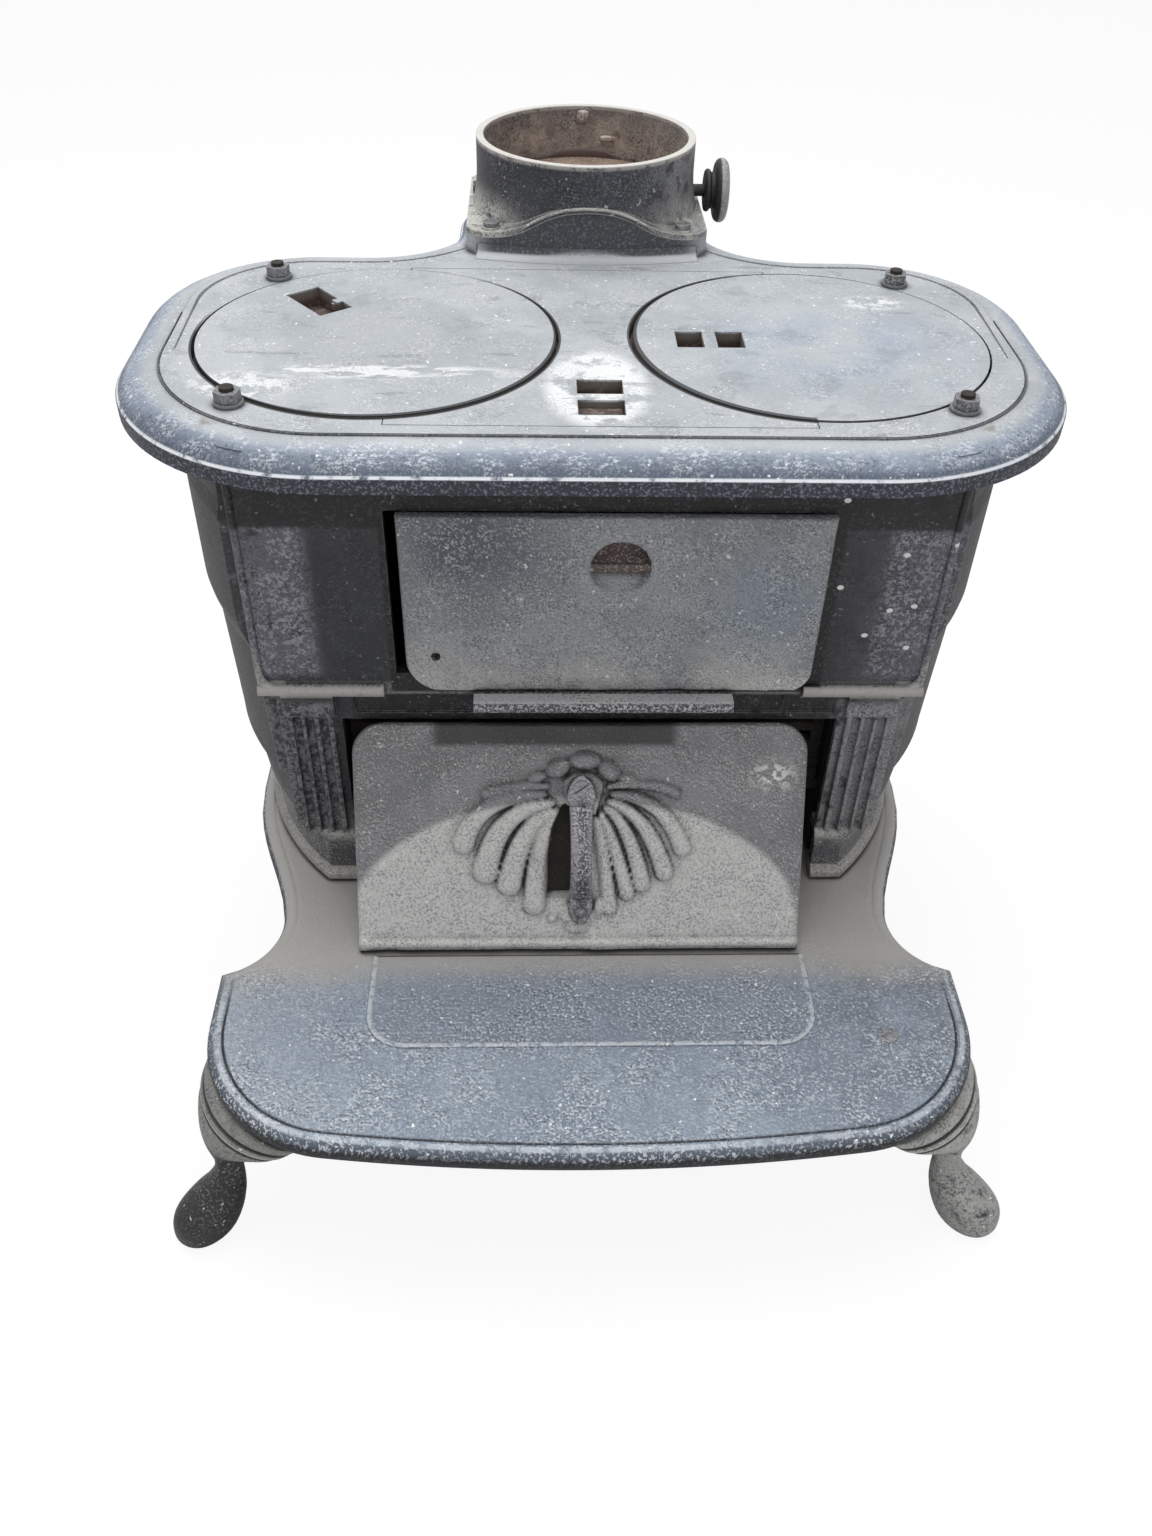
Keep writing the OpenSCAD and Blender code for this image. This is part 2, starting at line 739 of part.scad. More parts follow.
// A fluted pilaster with its cap, at the right of the lower opening.
module pilaster() {
    cap_h = 16;
    cap_top = ledge_z - ledge_h;
    face = wall_y - recess + 4;
    x0 = hearth_half_w + 5;
    difference() {
        translate([x0, -face, plinth_z]) cube([pilaster_out - x0, 5, cap_top - plinth_z]);
        for (x = [x0 + 6, x0 + 14.5, x0 + 22.5]) {
            translate([x, -face, plinth_z - 1]) cylinder(r = flute_r, h = cap_top - cap_h - plinth_z - 3);
            translate([x, -face, cap_top - cap_h - 4]) sphere(r = flute_r);
        }
    }
    translate([x0 - 2, -face - 2, cap_top - cap_h]) cube([pilaster_out - x0 + 4, 7, cap_h]);
}

// Rail in front of the feed plate's lower edge.
rail_x0 = -73;
rail_x1 = 85;
rail_gap = 3.4;
rail_floor = ledge_z - 2;
rail_back = wall_y + ledge_out;
rail_screw_x = [-45, 57];
module rail_screw_holes() {
    for (x = rail_screw_x) translate([x, -wall_y - 20, rail_floor - 8]) rotate([-90, 0, 0]) cylinder(r = 2.6, h = 40);
}

module feed_rail() {
    lip_y = wall_y + fit + plate_t + rail_gap;
    color(iron_plate) centred() difference() {
        union() {
            translate([rail_x0, -lip_y - 5, rail_floor - 13]) cube([rail_x1 - rail_x0, lip_y + 5 - wall_y, 13]);
            translate([rail_x0, -lip_y - 5, rail_floor - 1]) cube([rail_x1 - rail_x0, 5, 2.4]);
            translate([rail_x0, -lip_y - 5, rail_floor - 5.5]) rotate([0, 90, 0])
                cylinder(r = 6.9, h = rail_x1 - rail_x0);
        }
        translate([rail_x0 - 1, -lip_y - 20, rail_floor - 40]) cube([rail_x1 - rail_x0 + 2, 60, 27]);
        translate([rail_x0 - 1, -lip_y, rail_floor]) cube([rail_x1 - rail_x0 + 2, 20, 20]);
        rail_screw_holes();
    }
}

module feed_rail_screws() {
    color(iron_rust) centred() for (x = rail_screw_x) translate([x, -wall_y - 6, rail_floor - 8])
        rotate([-90, 0, 0]) cylinder(r = 2.5, h = wall_t + 9);
}

// Feed plate, with its round lifter pocket.
feed_corner_r = 22;
feed_pocket_r = 17.5;
module feed_plate() {
    x0 = feed_shift - feed_plate_w / 2;
    z0 = rail_floor + fit;
    pocket = [feed_shift + 3, z0 + 88];
    color(iron_plate) centred() {
        difference() {
            union() {
                upright(-wall_y - fit - plate_t, plate_t) {
                    translate([x0, z0 + feed_corner_r]) square([feed_plate_w, feed_plate_h - feed_corner_r]);
                    translate([x0 + feed_corner_r, z0]) square([feed_plate_w - 2 * feed_corner_r, feed_plate_h / 2]);
                    for (x = [x0 + feed_corner_r, x0 + feed_plate_w - feed_corner_r])
                        translate([x, z0 + feed_corner_r]) circle(feed_corner_r);
                }
                upright(-wall_y - fit - 2, 12) translate(pocket) circle(feed_pocket_r + 3);
            }
            upright(-wall_y - fit - plate_t - 1, plate_t + 8) translate(pocket) circle(feed_pocket_r);
            upright(-wall_y - fit - plate_t - 1, 20) translate([x0 + 18, z0 + 26]) circle(2.5);
        }
        translate([pocket.x - feed_pocket_r - 1, -wall_y - fit - plate_t, pocket.y - 4])
            cube([2 * feed_pocket_r + 2, 4, 7]);
    }
}

// Lower plate, drawn flat with X across, Y up the plate and Z outwards.
lean_run = lower_foot_y - wall_y + recess - fit;
lower_lean = asin((lean_run - plate_t / cos(asin(lean_run / lower_plate_l))) / lower_plate_l);
lower_corner_r = 20;
boss_v = 114;
boss_r = 11;
module on_slope() {
    translate([lower_shift, -lower_foot_y, hearth_z + fit]) rotate([90 - lower_lean, 0, 0])
        translate([0, tan(lower_lean) * plate_t, 0]) children();
}

function bezier(a, b, c, t) = (1 - t) * (1 - t) * a + 2 * t * (1 - t) * b + t * t * c;
function heading(a, b, c, t) = (1 - t) * (b - a) + t * (c - b);

// One drooping lobe of the shell: root, bend and tip from the boss.
module lobe(a, b, c, w) {
    rings = 8;
    sides = 10;
    skin([for (k = [0:rings])
        let (
            t = k / rings,
            p = bezier(a, b, c, t),
            d = heading(a, b, c, t) / norm(heading(a, b, c, t)),
            n = [-d.y, d.x],
            taper = k == rings ? 0.25 : (k == rings - 1 ? 0.8 : 1),
            r = (2 + (w - 2) * t) * taper
        )
        [for (i = [0:sides - 1])
            let (q = 360 * i / sides)
            [p.x + n.x * r * cos(q), p.y + n.y * r * cos(q), r * 0.85 * sin(q)]]]);
}

// Lobes of the right half, from the top one to the one beside the handle.
lobes = [
    [[9, 3], [38, 12], [62, -3], 4.6],
    [[9, 0], [56, 2], [71, -36], 5.6],
    [[9, -3], [42, -14], [59, -54], 6.2],
    [[8, -6], [30, -20], [44, -66], 6.0],
    [[7, -9], [20, -28], [28, -78], 5.4]
];
finger_l = 56;
finger_w = 20;
module finger_hollow(grow, depth) {
    translate([0, boss_v - 44.5, -depth]) linear_extrude(depth + 20) intersection() {
        translate([-finger_w * 0.75, 0]) circle(finger_l * 0.62 + grow);
        translate([finger_w * 0.75, 0]) circle(finger_l * 0.62 + grow);
        square([2 * finger_w, finger_l + 2 * grow], center = true);
    }
}

module lower_plate() {
    color(iron_plate) centred() on_slope() {
        difference() {
            union() {
                translate([0, 0, -plate_t]) linear_extrude(plate_t) lower_outline();
                translate([-lower_plate_w / 2, 6, 0]) rotate([0, 90, 0])
                    cylinder(r = 3, h = lower_plate_w);
                translate([0, boss_v, 0]) intersection() {
                    shell();
                    translate([-150, -boss_v, -plate_t + 1]) cube([300, 300, 40]);
                }
                intersection() {
                    finger_hollow(3, 13);
                    translate([-100, 0, -13]) cube([200, 200, 13]);
                }
            }
            finger_hollow(0, 10);
            translate([0, boss_v, -20]) cylinder(r = 2.6, h = 60);
            translate([0, rivet_v, -20]) cylinder(r = 2.6, h = 60);
        }
    }
}

module lower_outline() {
    w = lower_plate_w / 2;
    translate([-w, 0]) square([2 * w, lower_plate_l - lower_corner_r]);
    translate([-w + lower_corner_r, 0]) square([2 * w - 2 * lower_corner_r, lower_plate_l]);
    for (s = [-1, 1]) translate([s * (w - lower_corner_r), lower_plate_l - lower_corner_r]) circle(lower_corner_r);
}

module shell() {
    both_sides() for (l = lobes) lobe(l[0], l[1], l[2], l[3]);
    cylinder(r = boss_r, h = 5);
    translate([0, 20, -3]) sphere(r = 9.5);
    both_sides() {
        translate([15, 13, -3]) sphere(r = 8.5);
        translate([30, 10, -2]) sphere(r = 5.5);
    }
    translate([0, 28 - boss_v, 0]) cylinder(r = 9, h = 2);
    both_sides() translate([13, 32 - boss_v, 0]) cylinder(r = 6.5, h = 2);
}

// Strap handle, a bowed bar between a tab on the boss and a riveted foot.
rivet_v = 29;
module strap_handle() {
    v0 = boss_v - 10;
    v1 = rivet_v + 8;
    mid = (v0 + v1) / 2;
    half = (v0 - v1) / 2;
    bow = (half * half + strap_h * strap_h) / (2 * strap_h);
    color(iron_dark) centred() on_slope() difference() {
        union() {
            intersection() {
                translate([-strap_w / 2, mid, 5 + strap_h - bow]) rotate([0, 90, 0]) difference() {
                    cylinder(r = bow, h = strap_w, $fn = 180);
                    translate([0, 0, -1]) cylinder(r = bow - 5, h = strap_w + 2, $fn = 180);
                }
                translate([-50, v1 - 2, 5]) cube([100, v0 - v1 + 4, 60]);
            }
            translate([0, boss_v, 5]) cylinder(r = 9.5, h = 3.5);
            translate([-strap_w / 2, v0 - 4, 5]) cube([strap_w, 12, 3.5]);
            translate([0, rivet_v, 2]) cylinder(r = 8, h = 3.5);
            translate([-strap_w / 2, rivet_v, 2]) cube([strap_w, 12, 3.5]);
        }
        translate([0, boss_v, -20]) cylinder(r = 2.6, h = 60);
        translate([0, rivet_v, -20]) cylinder(r = 2.6, h = 60);
    }
}

module handle_screw() {
    color(iron_rust) centred() on_slope() translate([0, boss_v, 0]) {
        translate([0, 0, -plate_t - 4]) cylinder(r = 2.5, h = plate_t + 4 + 9);
        translate([0, 0, 8.5]) difference() {
            cylinder(r = 5, h = 2.5);
            rotate(35) translate([-7, -0.7, 1.3]) cube([14, 1.4, 3]);
        }
    }
}

module handle_rivet() {
    color(iron_rust) centred() on_slope() translate([0, rivet_v, 0]) {
        translate([0, 0, -plate_t - 2]) cylinder(r = 2.5, h = plate_t + 2 + 6);
        intersection() {
            translate([0, 0, 4.4]) sphere(r = 4.5);
            translate([-10, -10, 5.5]) cube([20, 20, 10]);
        }
        translate([0, 0, -plate_t - 2]) cylinder(r = 4.5, h = 2);
    }
}

// Plan of the hearth as a ring of points, inset from its edge.
waist = [251, -166];
front_bow_a = hearth_front - corner_front;
front_bow_x = hearth_half - hearth_corner_r;
front_bow_r = (front_bow_x * front_bow_x + front_bow_a * front_bow_a - hearth_corner_r * hearth_corner_r)
    / (2 * (front_bow_a - hearth_corner_r));
front_bow_turn = asin(front_bow_x / (front_bow_r - hearth_corner_r));
hip = [hearth_half, -48];
function half_plan(i) = concat(
    arc([0, front_bow_r - hearth_front], front_bow_r - i, -90, -90 + front_bow_turn, 5),
    arc([front_bow_x, -corner_front], hearth_corner_r - i, -90 + front_bow_turn + 7, 0, 9),
    [[hearth_half - i, waist.y - sqrt(pow(waist_r + i, 2) - pow(waist.x - hearth_half + i, 2))]],
    arc(waist, waist_r + i, 242, 172, 7),
    [[hip.x - i, hip.y - i * 0.3]],
    arc([front_bow_x, corner_back], hearth_corner_r - i, 0, 90, 9)
);
function whole_plan(i) = let (h = half_plan(i), n = len(h))
    concat(h, [for (k = [n - 1:-1:1]) [-h[k].x, h[k].y]]);

function ring_at(points, z) = [for (p = points) [p.x, p.y, z]];

// Hearth slab with its rounded edge and its hollow underside.
edge_r = hearth_t / 2;
module hearth_slab() {
    turns = [for (a = [-90:30:90]) a];
    difference() {
        skin([for (a = turns)
            ring_at(whole_plan(edge_r * (1 - cos(a))), leg_h + edge_r + edge_r * sin(a))]);
        translate([0, 0, leg_h - 1]) linear_extrude(hearth_t - hearth_plate_t + 1) polygon(whole_plan(14));
    }
}

// The groove just inside the rounded edge.
module edge_groove() {
    translate([0, 0, hearth_z - 0.8]) linear_extrude(2) difference() {
        polygon(whole_plan(edge_r + 1));
        polygon(whole_plan(edge_r + 2.6));
    }
}

// Plinth wall under the sides, revolved about the bowed side's axis.
plinth_t = 8;
shoulder = 9;
module plinth_section() {
    polygon([[plinth_r - 20, plinth_z], [plinth_r - 20, plinth_z - 8], [plinth_r - plinth_t, plinth_z - 8],
        [plinth_r - plinth_t, hearth_z - 1], [plinth_r + 3, hearth_z - 1], [plinth_r + 3, hearth_z + 4],
        [plinth_r + 1, hearth_z + 8], [plinth_r, hearth_z + 9], [plinth_r, plinth_z - 13],
        [plinth_r - shoulder + 4, plinth_z]]);
}

module plinth_front(y) {
    w = front_half_w - 20;
    difference() {
        translate([hearth_half_w, 0, 0]) rotate([90, 0, 90]) linear_extrude(w - hearth_half_w)
            polygon([[-y, hearth_z - 1], [-y, hearth_z + 6], [-y + 2, hearth_z + 9], [-y + 2, plinth_z - 12],
                [-y + 2 + shoulder, plinth_z - fit], [-y + 22, plinth_z - fit], [-y + 22, hearth_z - 1]]);
        translate([hearth_half_w + 6, -y + 1, hearth_z + 14]) cube([w - hearth_half_w - 14, 2.5, 12]);
    }
}

module plinth() {
    both_sides() {
        intersection() {
            translate([bow_x, 0, 0]) rotate(-60) rotate_extrude(angle = 120) plinth_section();
            translate([hearth_half_w + 0.5, -wall_y + 2, 0]) cube([400, 2 * wall_y - 4, 900]);
        }
        plinth_front(wall_y + 1);
        mirror([0, 1, 0]) plinth_back();
    }
}

// The back of the plinth closes the ash space.
module plinth_back() {
    translate([-eps, -wall_y + 2.5, hearth_z - 1]) cube([plinth_r - 8, 10, plinth_h + 1 - fit]);
}

// Raised panel in front of the lower plate.
panel_half_w = 142;
panel_front = 272;
panel_corner_r = 30;
module hearth_panel() {
    side = panel_half_w - panel_corner_r;
    front = -panel_front + panel_corner_r;
    translate([0, 0, hearth_z - 1]) linear_extrude(1.8) polygon(concat(
        arc([-side, front], panel_corner_r, 180, 270, 6),
        arc([side, front], panel_corner_r, 270, 360, 6),
        [[panel_half_w, -lower_foot_y - 3], [-panel_half_w, -lower_foot_y - 3]]
    ));
}

module hearth_base() {
    color(iron_top) centred() difference() {
        union() {
            hearth_slab();
            plinth();
            hearth_panel();
            at_corners() translate([leg_bolt_rho, leg_bolt_side, leg_h]) cylinder(r = 14, h = hearth_t - hearth_plate_t + 1);
        }
        edge_groove();
        at_corners() leg_bolt_hole();
        both_sides() at_side_bolts() cylinder(r = side_bolt_r, h = 60, center = true);
        front_right() translate([leg_bolt_rho, leg_bolt_side, hearth_z - 3.5]) cylinder(r1 = 3.2, r2 = 6.7, h = 3.51);
    }
}

// Legs stand at the four corners of the hearth.
module at_corner(sx, sy) {
    scale_x = sx > 0 ? 0 : 1;
    scale_y = sy > 0 ? 1 : 0;
    y = sy > 0 ? corner_back : -corner_front;
    translate([sx * front_bow_x, y, 0]) mirror([scale_x, 0, 0]) mirror([0, scale_y, 0])
        rotate(-leg_turn) children();
}

module at_corners() {
    for (sx = [-1, 1], sy = [-1, 1]) at_corner(sx, sy) children();
}

module front_right() {
    at_corner(1, -1) children();
}

leg_bolt_rho = 39;
leg_bolt_side = 7;
leg_bolt_r = 3.2;
module leg_bolt_hole() {
    translate([leg_bolt_rho, leg_bolt_side, leg_h - 20]) cylinder(r = leg_bolt_r, h = 60);
}

// Sections of a leg: height, inner and outer reach, half width.
leg_sections = [
    [0, foot_out - 26, foot_out - 8, foot_half_w * 0.6],
    [leg_h * 0.03, foot_out - 34, foot_out - 3, foot_half_w * 0.85],
    [leg_h * 0.1, foot_out - 37, foot_out, foot_half_w],
    [leg_h * 0.2, foot_out - 38, foot_out - 1, foot_half_w],
    [leg_h * 0.28, foot_out - 41, foot_out - 9, foot_half_w * 0.85],
    [leg_h * 0.37, 0, foot_out - 25, foot_half_w * 0.6],
    [leg_h * 0.47, -3, knee_out - 1, 9],
    [leg_h * 0.58, -4, knee_out - 2, 8.6],
    [leg_h * 0.67, -5, knee_out - 1, 11],
    [leg_h * 0.76, -9, knee_out, 19],
    [leg_h * 0.85, -13, knee_out, 30],
    [leg_h * 0.92, -15, knee_out - 3, 41],
    [leg_h * 0.965, -16, knee_out - 7, 49],
    [leg_h - fit / 3, -16, 4, 51]
];
function leg_ring(s) = [for (i = [0:23])
    let (
        a = 15 * i,
        across = s[3] * sin(a),
        reach = hearth_corner_r + (s[1] + s[2]) / 2 + (s[2] - s[1]) / 2 * cos(a)
    )
    [sqrt(max(reach * reach - across * across, 1)) , across, s[0]]];

module leg() {
    difference() {
        union() {
            skin([for (s = leg_sections) leg_ring(s)]);
            rotate(-32) rotate_extrude(angle = 64)
                translate([hearth_corner_r + 4.4, leg_h - 1.6]) circle(2.4);
            rotate(-29) rotate_extrude(angle = 58)
                translate([hearth_corner_r + 9.5, leg_h * 0.935]) circle(2.2);
            translate([leg_bolt_rho - 16, -12, leg_h - 6 - fit / 3]) cube([52, 36, 6]);
        }
        leg_bolt_hole();
    }
}

module front_left_leg() {
    color(iron_dark) centred() at_corner(-1, -1) leg();
}

module front_right_leg() {
    color(iron_dark) centred() at_corner(1, -1) leg();
}

module back_left_leg() {
    color(iron_dark) centred() at_corner(-1, 1) leg();
}

module back_right_leg() {
    color(iron_dark) centred() at_corner(1, 1) leg();
}

// The front right bolt comes from above, the others from below.
module leg_bolts() {
    color(iron_rust) centred() {
        for (c = [[-1, -1], [-1, 1], [1, 1]]) at_corner(c[0], c[1])
            translate([leg_bolt_rho, leg_bolt_side, leg_h - 6 - fit / 3]) {
                cylinder(r = leg_bolt_r - 0.1, h = 6 + hearth_t - 2);
                translate([0, 0, -5]) cylinder(r = 6.5, h = 5, $fn = 6);
            }
        front_right() translate([leg_bolt_rho, leg_bolt_side, leg_h - 14]) difference() {
            union() {
                cylinder(r = leg_bolt_r - 0.1, h = 14 + hearth_t - 3.5);
                translate([0, 0, 14 + hearth_t - 3.5]) cylinder(r1 = 3.1, r2 = 6.4, h = 3.3);
                translate([0, 0, 2.9]) cylinder(r = 6.5, h = 5, $fn = 6);
            }
            rotate(-20) translate([-8, -0.8, 14 + hearth_t - 1.8]) cube([16, 1.6, 4]);
        }
    }
}

// Back plate with the smoke outlet.
outlet_w = 120;
outlet_z = top_z - 130;
outlet_h = 96;
module back_panel() {
    color(iron_body) centred() difference() {
        upright(wall_y - wall_t, wall_t) difference() {
            translate([-front_half_w, plinth_z]) square([2 * front_half_w, wall_top - plinth_z]);
            translate([-outlet_w / 2, outlet_z]) square([outlet_w, outlet_h]);
        }
        at_box_bolts() rotate([-90, 0, 0]) cylinder(r = 3.2, h = 60, center = true);
    }
}

// Flue box that leads from the smoke outlet up to the collar.
box_half_w = seat_half_w - 2;
box_top = top_z - skirt_drop;
box_t = 5;
module box_profile(i) {
    front = wall_y - (i > 0 ? 10 : 0);
    polygon([[front, outlet_z - 14 + i], [wall_y + 45, outlet_z - 14 + i],
        [tongue_back - i, outlet_z + 50 + i * 0.4], [tongue_back - i, top_z + 20], [front, top_z + 20]]);
}

module box_plan(i) {
    intersection() {
        top_outline(6 + i);
        translate([-box_half_w + i, 0]) square([2 * (box_half_w - i), 400]);
    }
}

module box_shape(i) {
    intersection() {
        rotate([90, 0, 90]) translate([0, 0, -box_half_w]) linear_extrude(2 * box_half_w) box_profile(i);
        translate([0, 0, outlet_z - 20]) linear_extrude(300) box_plan(i);
    }
}

module flue_box() {
    color(iron_dark) centred() difference() {
        union() {
            box_shape(0);
            translate([-box_half_w - 16, wall_y, outlet_z - 26])
                cube([2 * box_half_w + 32, 6, box_top - outlet_z + 26]);
        }
        box_shape(box_t);
        translate([-300, wall_y - 5, box_top]) cube([600, 600, 200]);
        at_box_bolts() rotate([-90, 0, 0]) cylinder(r = 3.2, h = 60, center = true);
    }
}

module at_box_bolts() {
    for (sx = [-1, 1], z = [outlet_z - 8, outlet_z + outlet_h - 20])
        translate([sx * (box_half_w + 8), wall_y, z]) children();
}

module flue_box_bolts() {
    color(iron_rust) centred() at_box_bolts() rotate([-90, 0, 0]) {
        translate([0, 0, -wall_t - 6]) cylinder(r = 3.1, h = wall_t + 6 + 6);
        translate([0, 0, 6]) cylinder(r = 6.5, h = 5, $fn = 6);
    }
}

// Linings round the fire.
lining_h = 235;
lining_front = 25 - wall_y;
lining_back = wall_y - 39;
module side_linings() {
    color(iron_rust) centred() both_sides() {
        translate([lining_x, lining_front, hearth_z]) cube([lining_t, lining_back - lining_front, lining_h]);
        translate([lining_x - 10, lining_front + 4, hearth_z + grate_z - grate_t - 8])
            cube([11, lining_back - lining_front - 6, 8]);
    }
}

module fire_back() {
    color(iron_rust) centred() {
        translate([-lining_x - lining_t, lining_back + 1, hearth_z])
            cube([2 * (lining_x + lining_t), lining_t, lining_h + 40]);
        for (x = [-120:40:120]) translate([x - 3, lining_back - 2, hearth_z + grate_z + 20])
            cube([6, 4, lining_h - grate_z - 30]);
    }
}

grate_half_w = lining_x - 2;
module bottom_grate() {
    pitch = (2 * grate_half_w - 16) / grate_slots;
    color(iron_dark) centred() translate([0, 0, hearth_z + grate_z - grate_t]) linear_extrude(grate_t) difference() {
        translate([-grate_half_w, -95]) square([2 * grate_half_w, 176]);
        for (i = [0:grate_slots - 1], y = [-85, -2])
            translate([-grate_half_w + 8 + pitch * i + 5, y]) square([pitch - 10, 73]);
    }
}

module front_grate() {
    color(iron_dark) centred() {
        for (i = [0:3]) translate([-grate_half_w, -93, hearth_z + grate_z + 16 * i])
            cube([2 * grate_half_w, 8, 7]);
        for (x = [-grate_half_w, -grate_half_w / 2 - 4, -4, grate_half_w / 2 - 4, grate_half_w - 8])
            translate([x, -92, hearth_z + grate_z]) cube([8, 6, 55]);
    }
}

top_plate();
centre_plate();
left_lid();
right_lid();
flue_collar();
collar_bolts();
damper_plate();
damper_shaft();
damper_knob();
top_studs();
top_washers();
top_nuts();
front_frame();
left_side();
right_side();
back_panel();
flue_box();
flue_box_bolts();
side_foot_bolts();
feed_rail();
feed_rail_screws();
feed_plate();
lower_plate();
strap_handle();
handle_screw();
handle_rivet();
hearth_base();
side_linings();
fire_back();
bottom_grate();
front_grate();
front_left_leg();
front_right_leg();
back_left_leg();
back_right_leg();
leg_bolts();
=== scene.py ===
import math

import bmesh
import bpy
import numpy as np
from mathutils import Matrix, Vector


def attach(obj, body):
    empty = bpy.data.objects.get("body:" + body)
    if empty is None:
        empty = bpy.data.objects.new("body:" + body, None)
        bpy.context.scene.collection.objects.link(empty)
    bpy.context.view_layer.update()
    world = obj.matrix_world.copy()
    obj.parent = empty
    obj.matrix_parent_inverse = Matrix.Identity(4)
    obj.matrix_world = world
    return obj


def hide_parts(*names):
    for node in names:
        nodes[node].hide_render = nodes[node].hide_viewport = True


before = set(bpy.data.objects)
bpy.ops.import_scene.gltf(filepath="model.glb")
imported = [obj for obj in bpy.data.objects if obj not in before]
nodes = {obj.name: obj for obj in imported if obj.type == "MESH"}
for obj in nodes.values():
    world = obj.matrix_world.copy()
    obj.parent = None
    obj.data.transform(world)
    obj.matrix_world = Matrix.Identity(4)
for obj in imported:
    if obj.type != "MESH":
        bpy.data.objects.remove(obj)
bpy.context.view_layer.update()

print("loaded", len(nodes), "castings and fasteners")

midY = 30.0  # mm from the lid line to the middle of the stove's box
hearthZ = 125.0  # hearth surface, mm above the floor
lidZ = 460.0  # lid plane
lidX = 130.0  # middle of the top to the centre of each lid
collarY = 203.0  # lid line to the centre of the flue collar
seatY = 435.0  # lid line to the centre of the arcs along the collar's seat and flange


def row(x, y, z):  # mm about the lid line to metres in the frame
    return Vector((x / 1000, (y + midY) / 1000, z / 1000))


def linear(hexColour):  # sRGB hex to linear
    h = hexColour.lstrip("#")
    out = []
    for i in (0, 2, 4):
        c = int(h[i:i + 2], 16) / 255
        out.append(c / 12.92 if c <= 0.04045 else ((c + 0.055) / 1.055) ** 2.4)
    return (*out, 1.0)


# materials: all of the stove is grey sand-cast iron, under oxide, dust and bloom
def addNode(tree, kind, settings=None, links=None):
    n = tree.nodes.new("ShaderNode" + kind)
    for key, value in (settings or {}).items():
        if isinstance(key, str) and hasattr(n, key):
            setattr(n, key, value)
        else:
            n.inputs[key].default_value = value
    for key, source in (links or {}).items():
        tree.links.new(source, n.inputs[key])
    return n


def reachOf(tree, place, amount, masks):  # how far a layer of dirt, bloom or wear reaches, with lengths in mm
    share = None
    for kind, low, high, *more in masks:
        if kind in ("x", "y", "z", "side"):  # along an axis, or out from the middle
            axes = addNode(tree, "SeparateXYZ", None, {0: place})
            value = axes.outputs["xyz".find(kind) if kind != "side" else 0]
            if kind == "side":
                value = addNode(tree, "Math", {"operation": "ABSOLUTE"}, {0: value}).outputs[0]
            shift = midY if kind == "y" else 0
            low, high = (low + shift) / 1000, (high + shift) / 1000
        elif kind == "spot":  # an ellipsoid, 1 at its skin
            centre, radii = more
            away = addNode(tree, "VectorMath", {"operation": "SUBTRACT", 1: row(*centre)}, {0: place})
            away = addNode(tree, "VectorMath", {"operation": "MULTIPLY", 1: [1000 / r for r in radii]},
                           {0: away.outputs[0]})
            value = addNode(tree, "VectorMath", {"operation": "LENGTH"},
                            {0: away.outputs[0]}).outputs["Value"]
        elif kind == "up":  # faces that look up, where dust settles
            normal = addNode(tree, "NewGeometry").outputs["Normal"]
            value = addNode(tree, "SeparateXYZ", None, {0: normal}).outputs[2]
        elif kind == "crease":  # corners darkened by occlusion: dirt that a cloth can't reach, and painted shade
            value = addNode(tree, "AmbientOcclusion",
                            {"samples": 4, "Distance": more[0] / 1000}).outputs["AO"]
        elif kind == "worn":  # edges that hands and pans rub, drawn pale all round, so also a painted highlight
            soft = addNode(tree, "Bevel", {"samples": 4, "Radius": more[0] / 1000}).outputs[0]
            normal = addNode(tree, "NewGeometry").outputs["Normal"]
            value = addNode(tree, "VectorMath", {"operation": "DOT_PRODUCT"},
                            {0: soft, 1: normal}).outputs["Value"]
        else:  # blotches so many mm wide, squeezed along the axes where factors are given
            squeeze = more[1] if len(more) > 1 else (1, 1, 1)
            spread = addNode(tree, "VectorMath", {"operation": "MULTIPLY", 1: squeeze},
                             {0: place}).outputs[0]
            value = addNode(tree, "TexNoise", {"Scale": 1000 / more[0], "Detail": 4.0, "Roughness": 0.65},
                            {"Vector": spread}).outputs["Fac"]
        reach = addNode(tree, "MapRange",
                        {"interpolation_type": "SMOOTHSTEP", "From Min": low, "From Max": high},
                        {"Value": value}).outputs[0]
        if share is not None:
            reach = addNode(tree, "Math", {"operation": "MULTIPLY"}, {0: share, 1: reach}).outputs[0]
        share = reach
    return addNode(tree, "Math", {"operation": "MULTIPLY", 1: amount}, {0: share}).outputs[0]


plainCasting = {
    "cloud": 55, "cluster": 24, "fleck": 3.2, "swell": 9,  # mm across broad tones, patches of grain, flecks and lumps
    "grain": 1.6,  # mm, the sand's grain drawn some 3 times coarser than it is so that it shows
    "gather": (0.42, 0.6, 0.35),  # where the grain gathers, and how much is left between
    "pale": 0.7, "pitShade": 0.6, "flecks": 0.7,  # how well bloom, pits drawn as grain shadow, and flecks cover
    "fleckTone": "#ececec", "metal": 0.2, "rough": 0.6,
    "edge": 1.2, "lump": 0.35, "tooth": 0.4,  # mm, rounding of edges and height of lumps and grain
    "layers": [], "last": []}  # coats under and over the grain: tone, amount and masks
grainShadow = (0.0004, 0.0008, 0.0007)  # m from a pale grain to the pit drawn beside it as its painted shadow
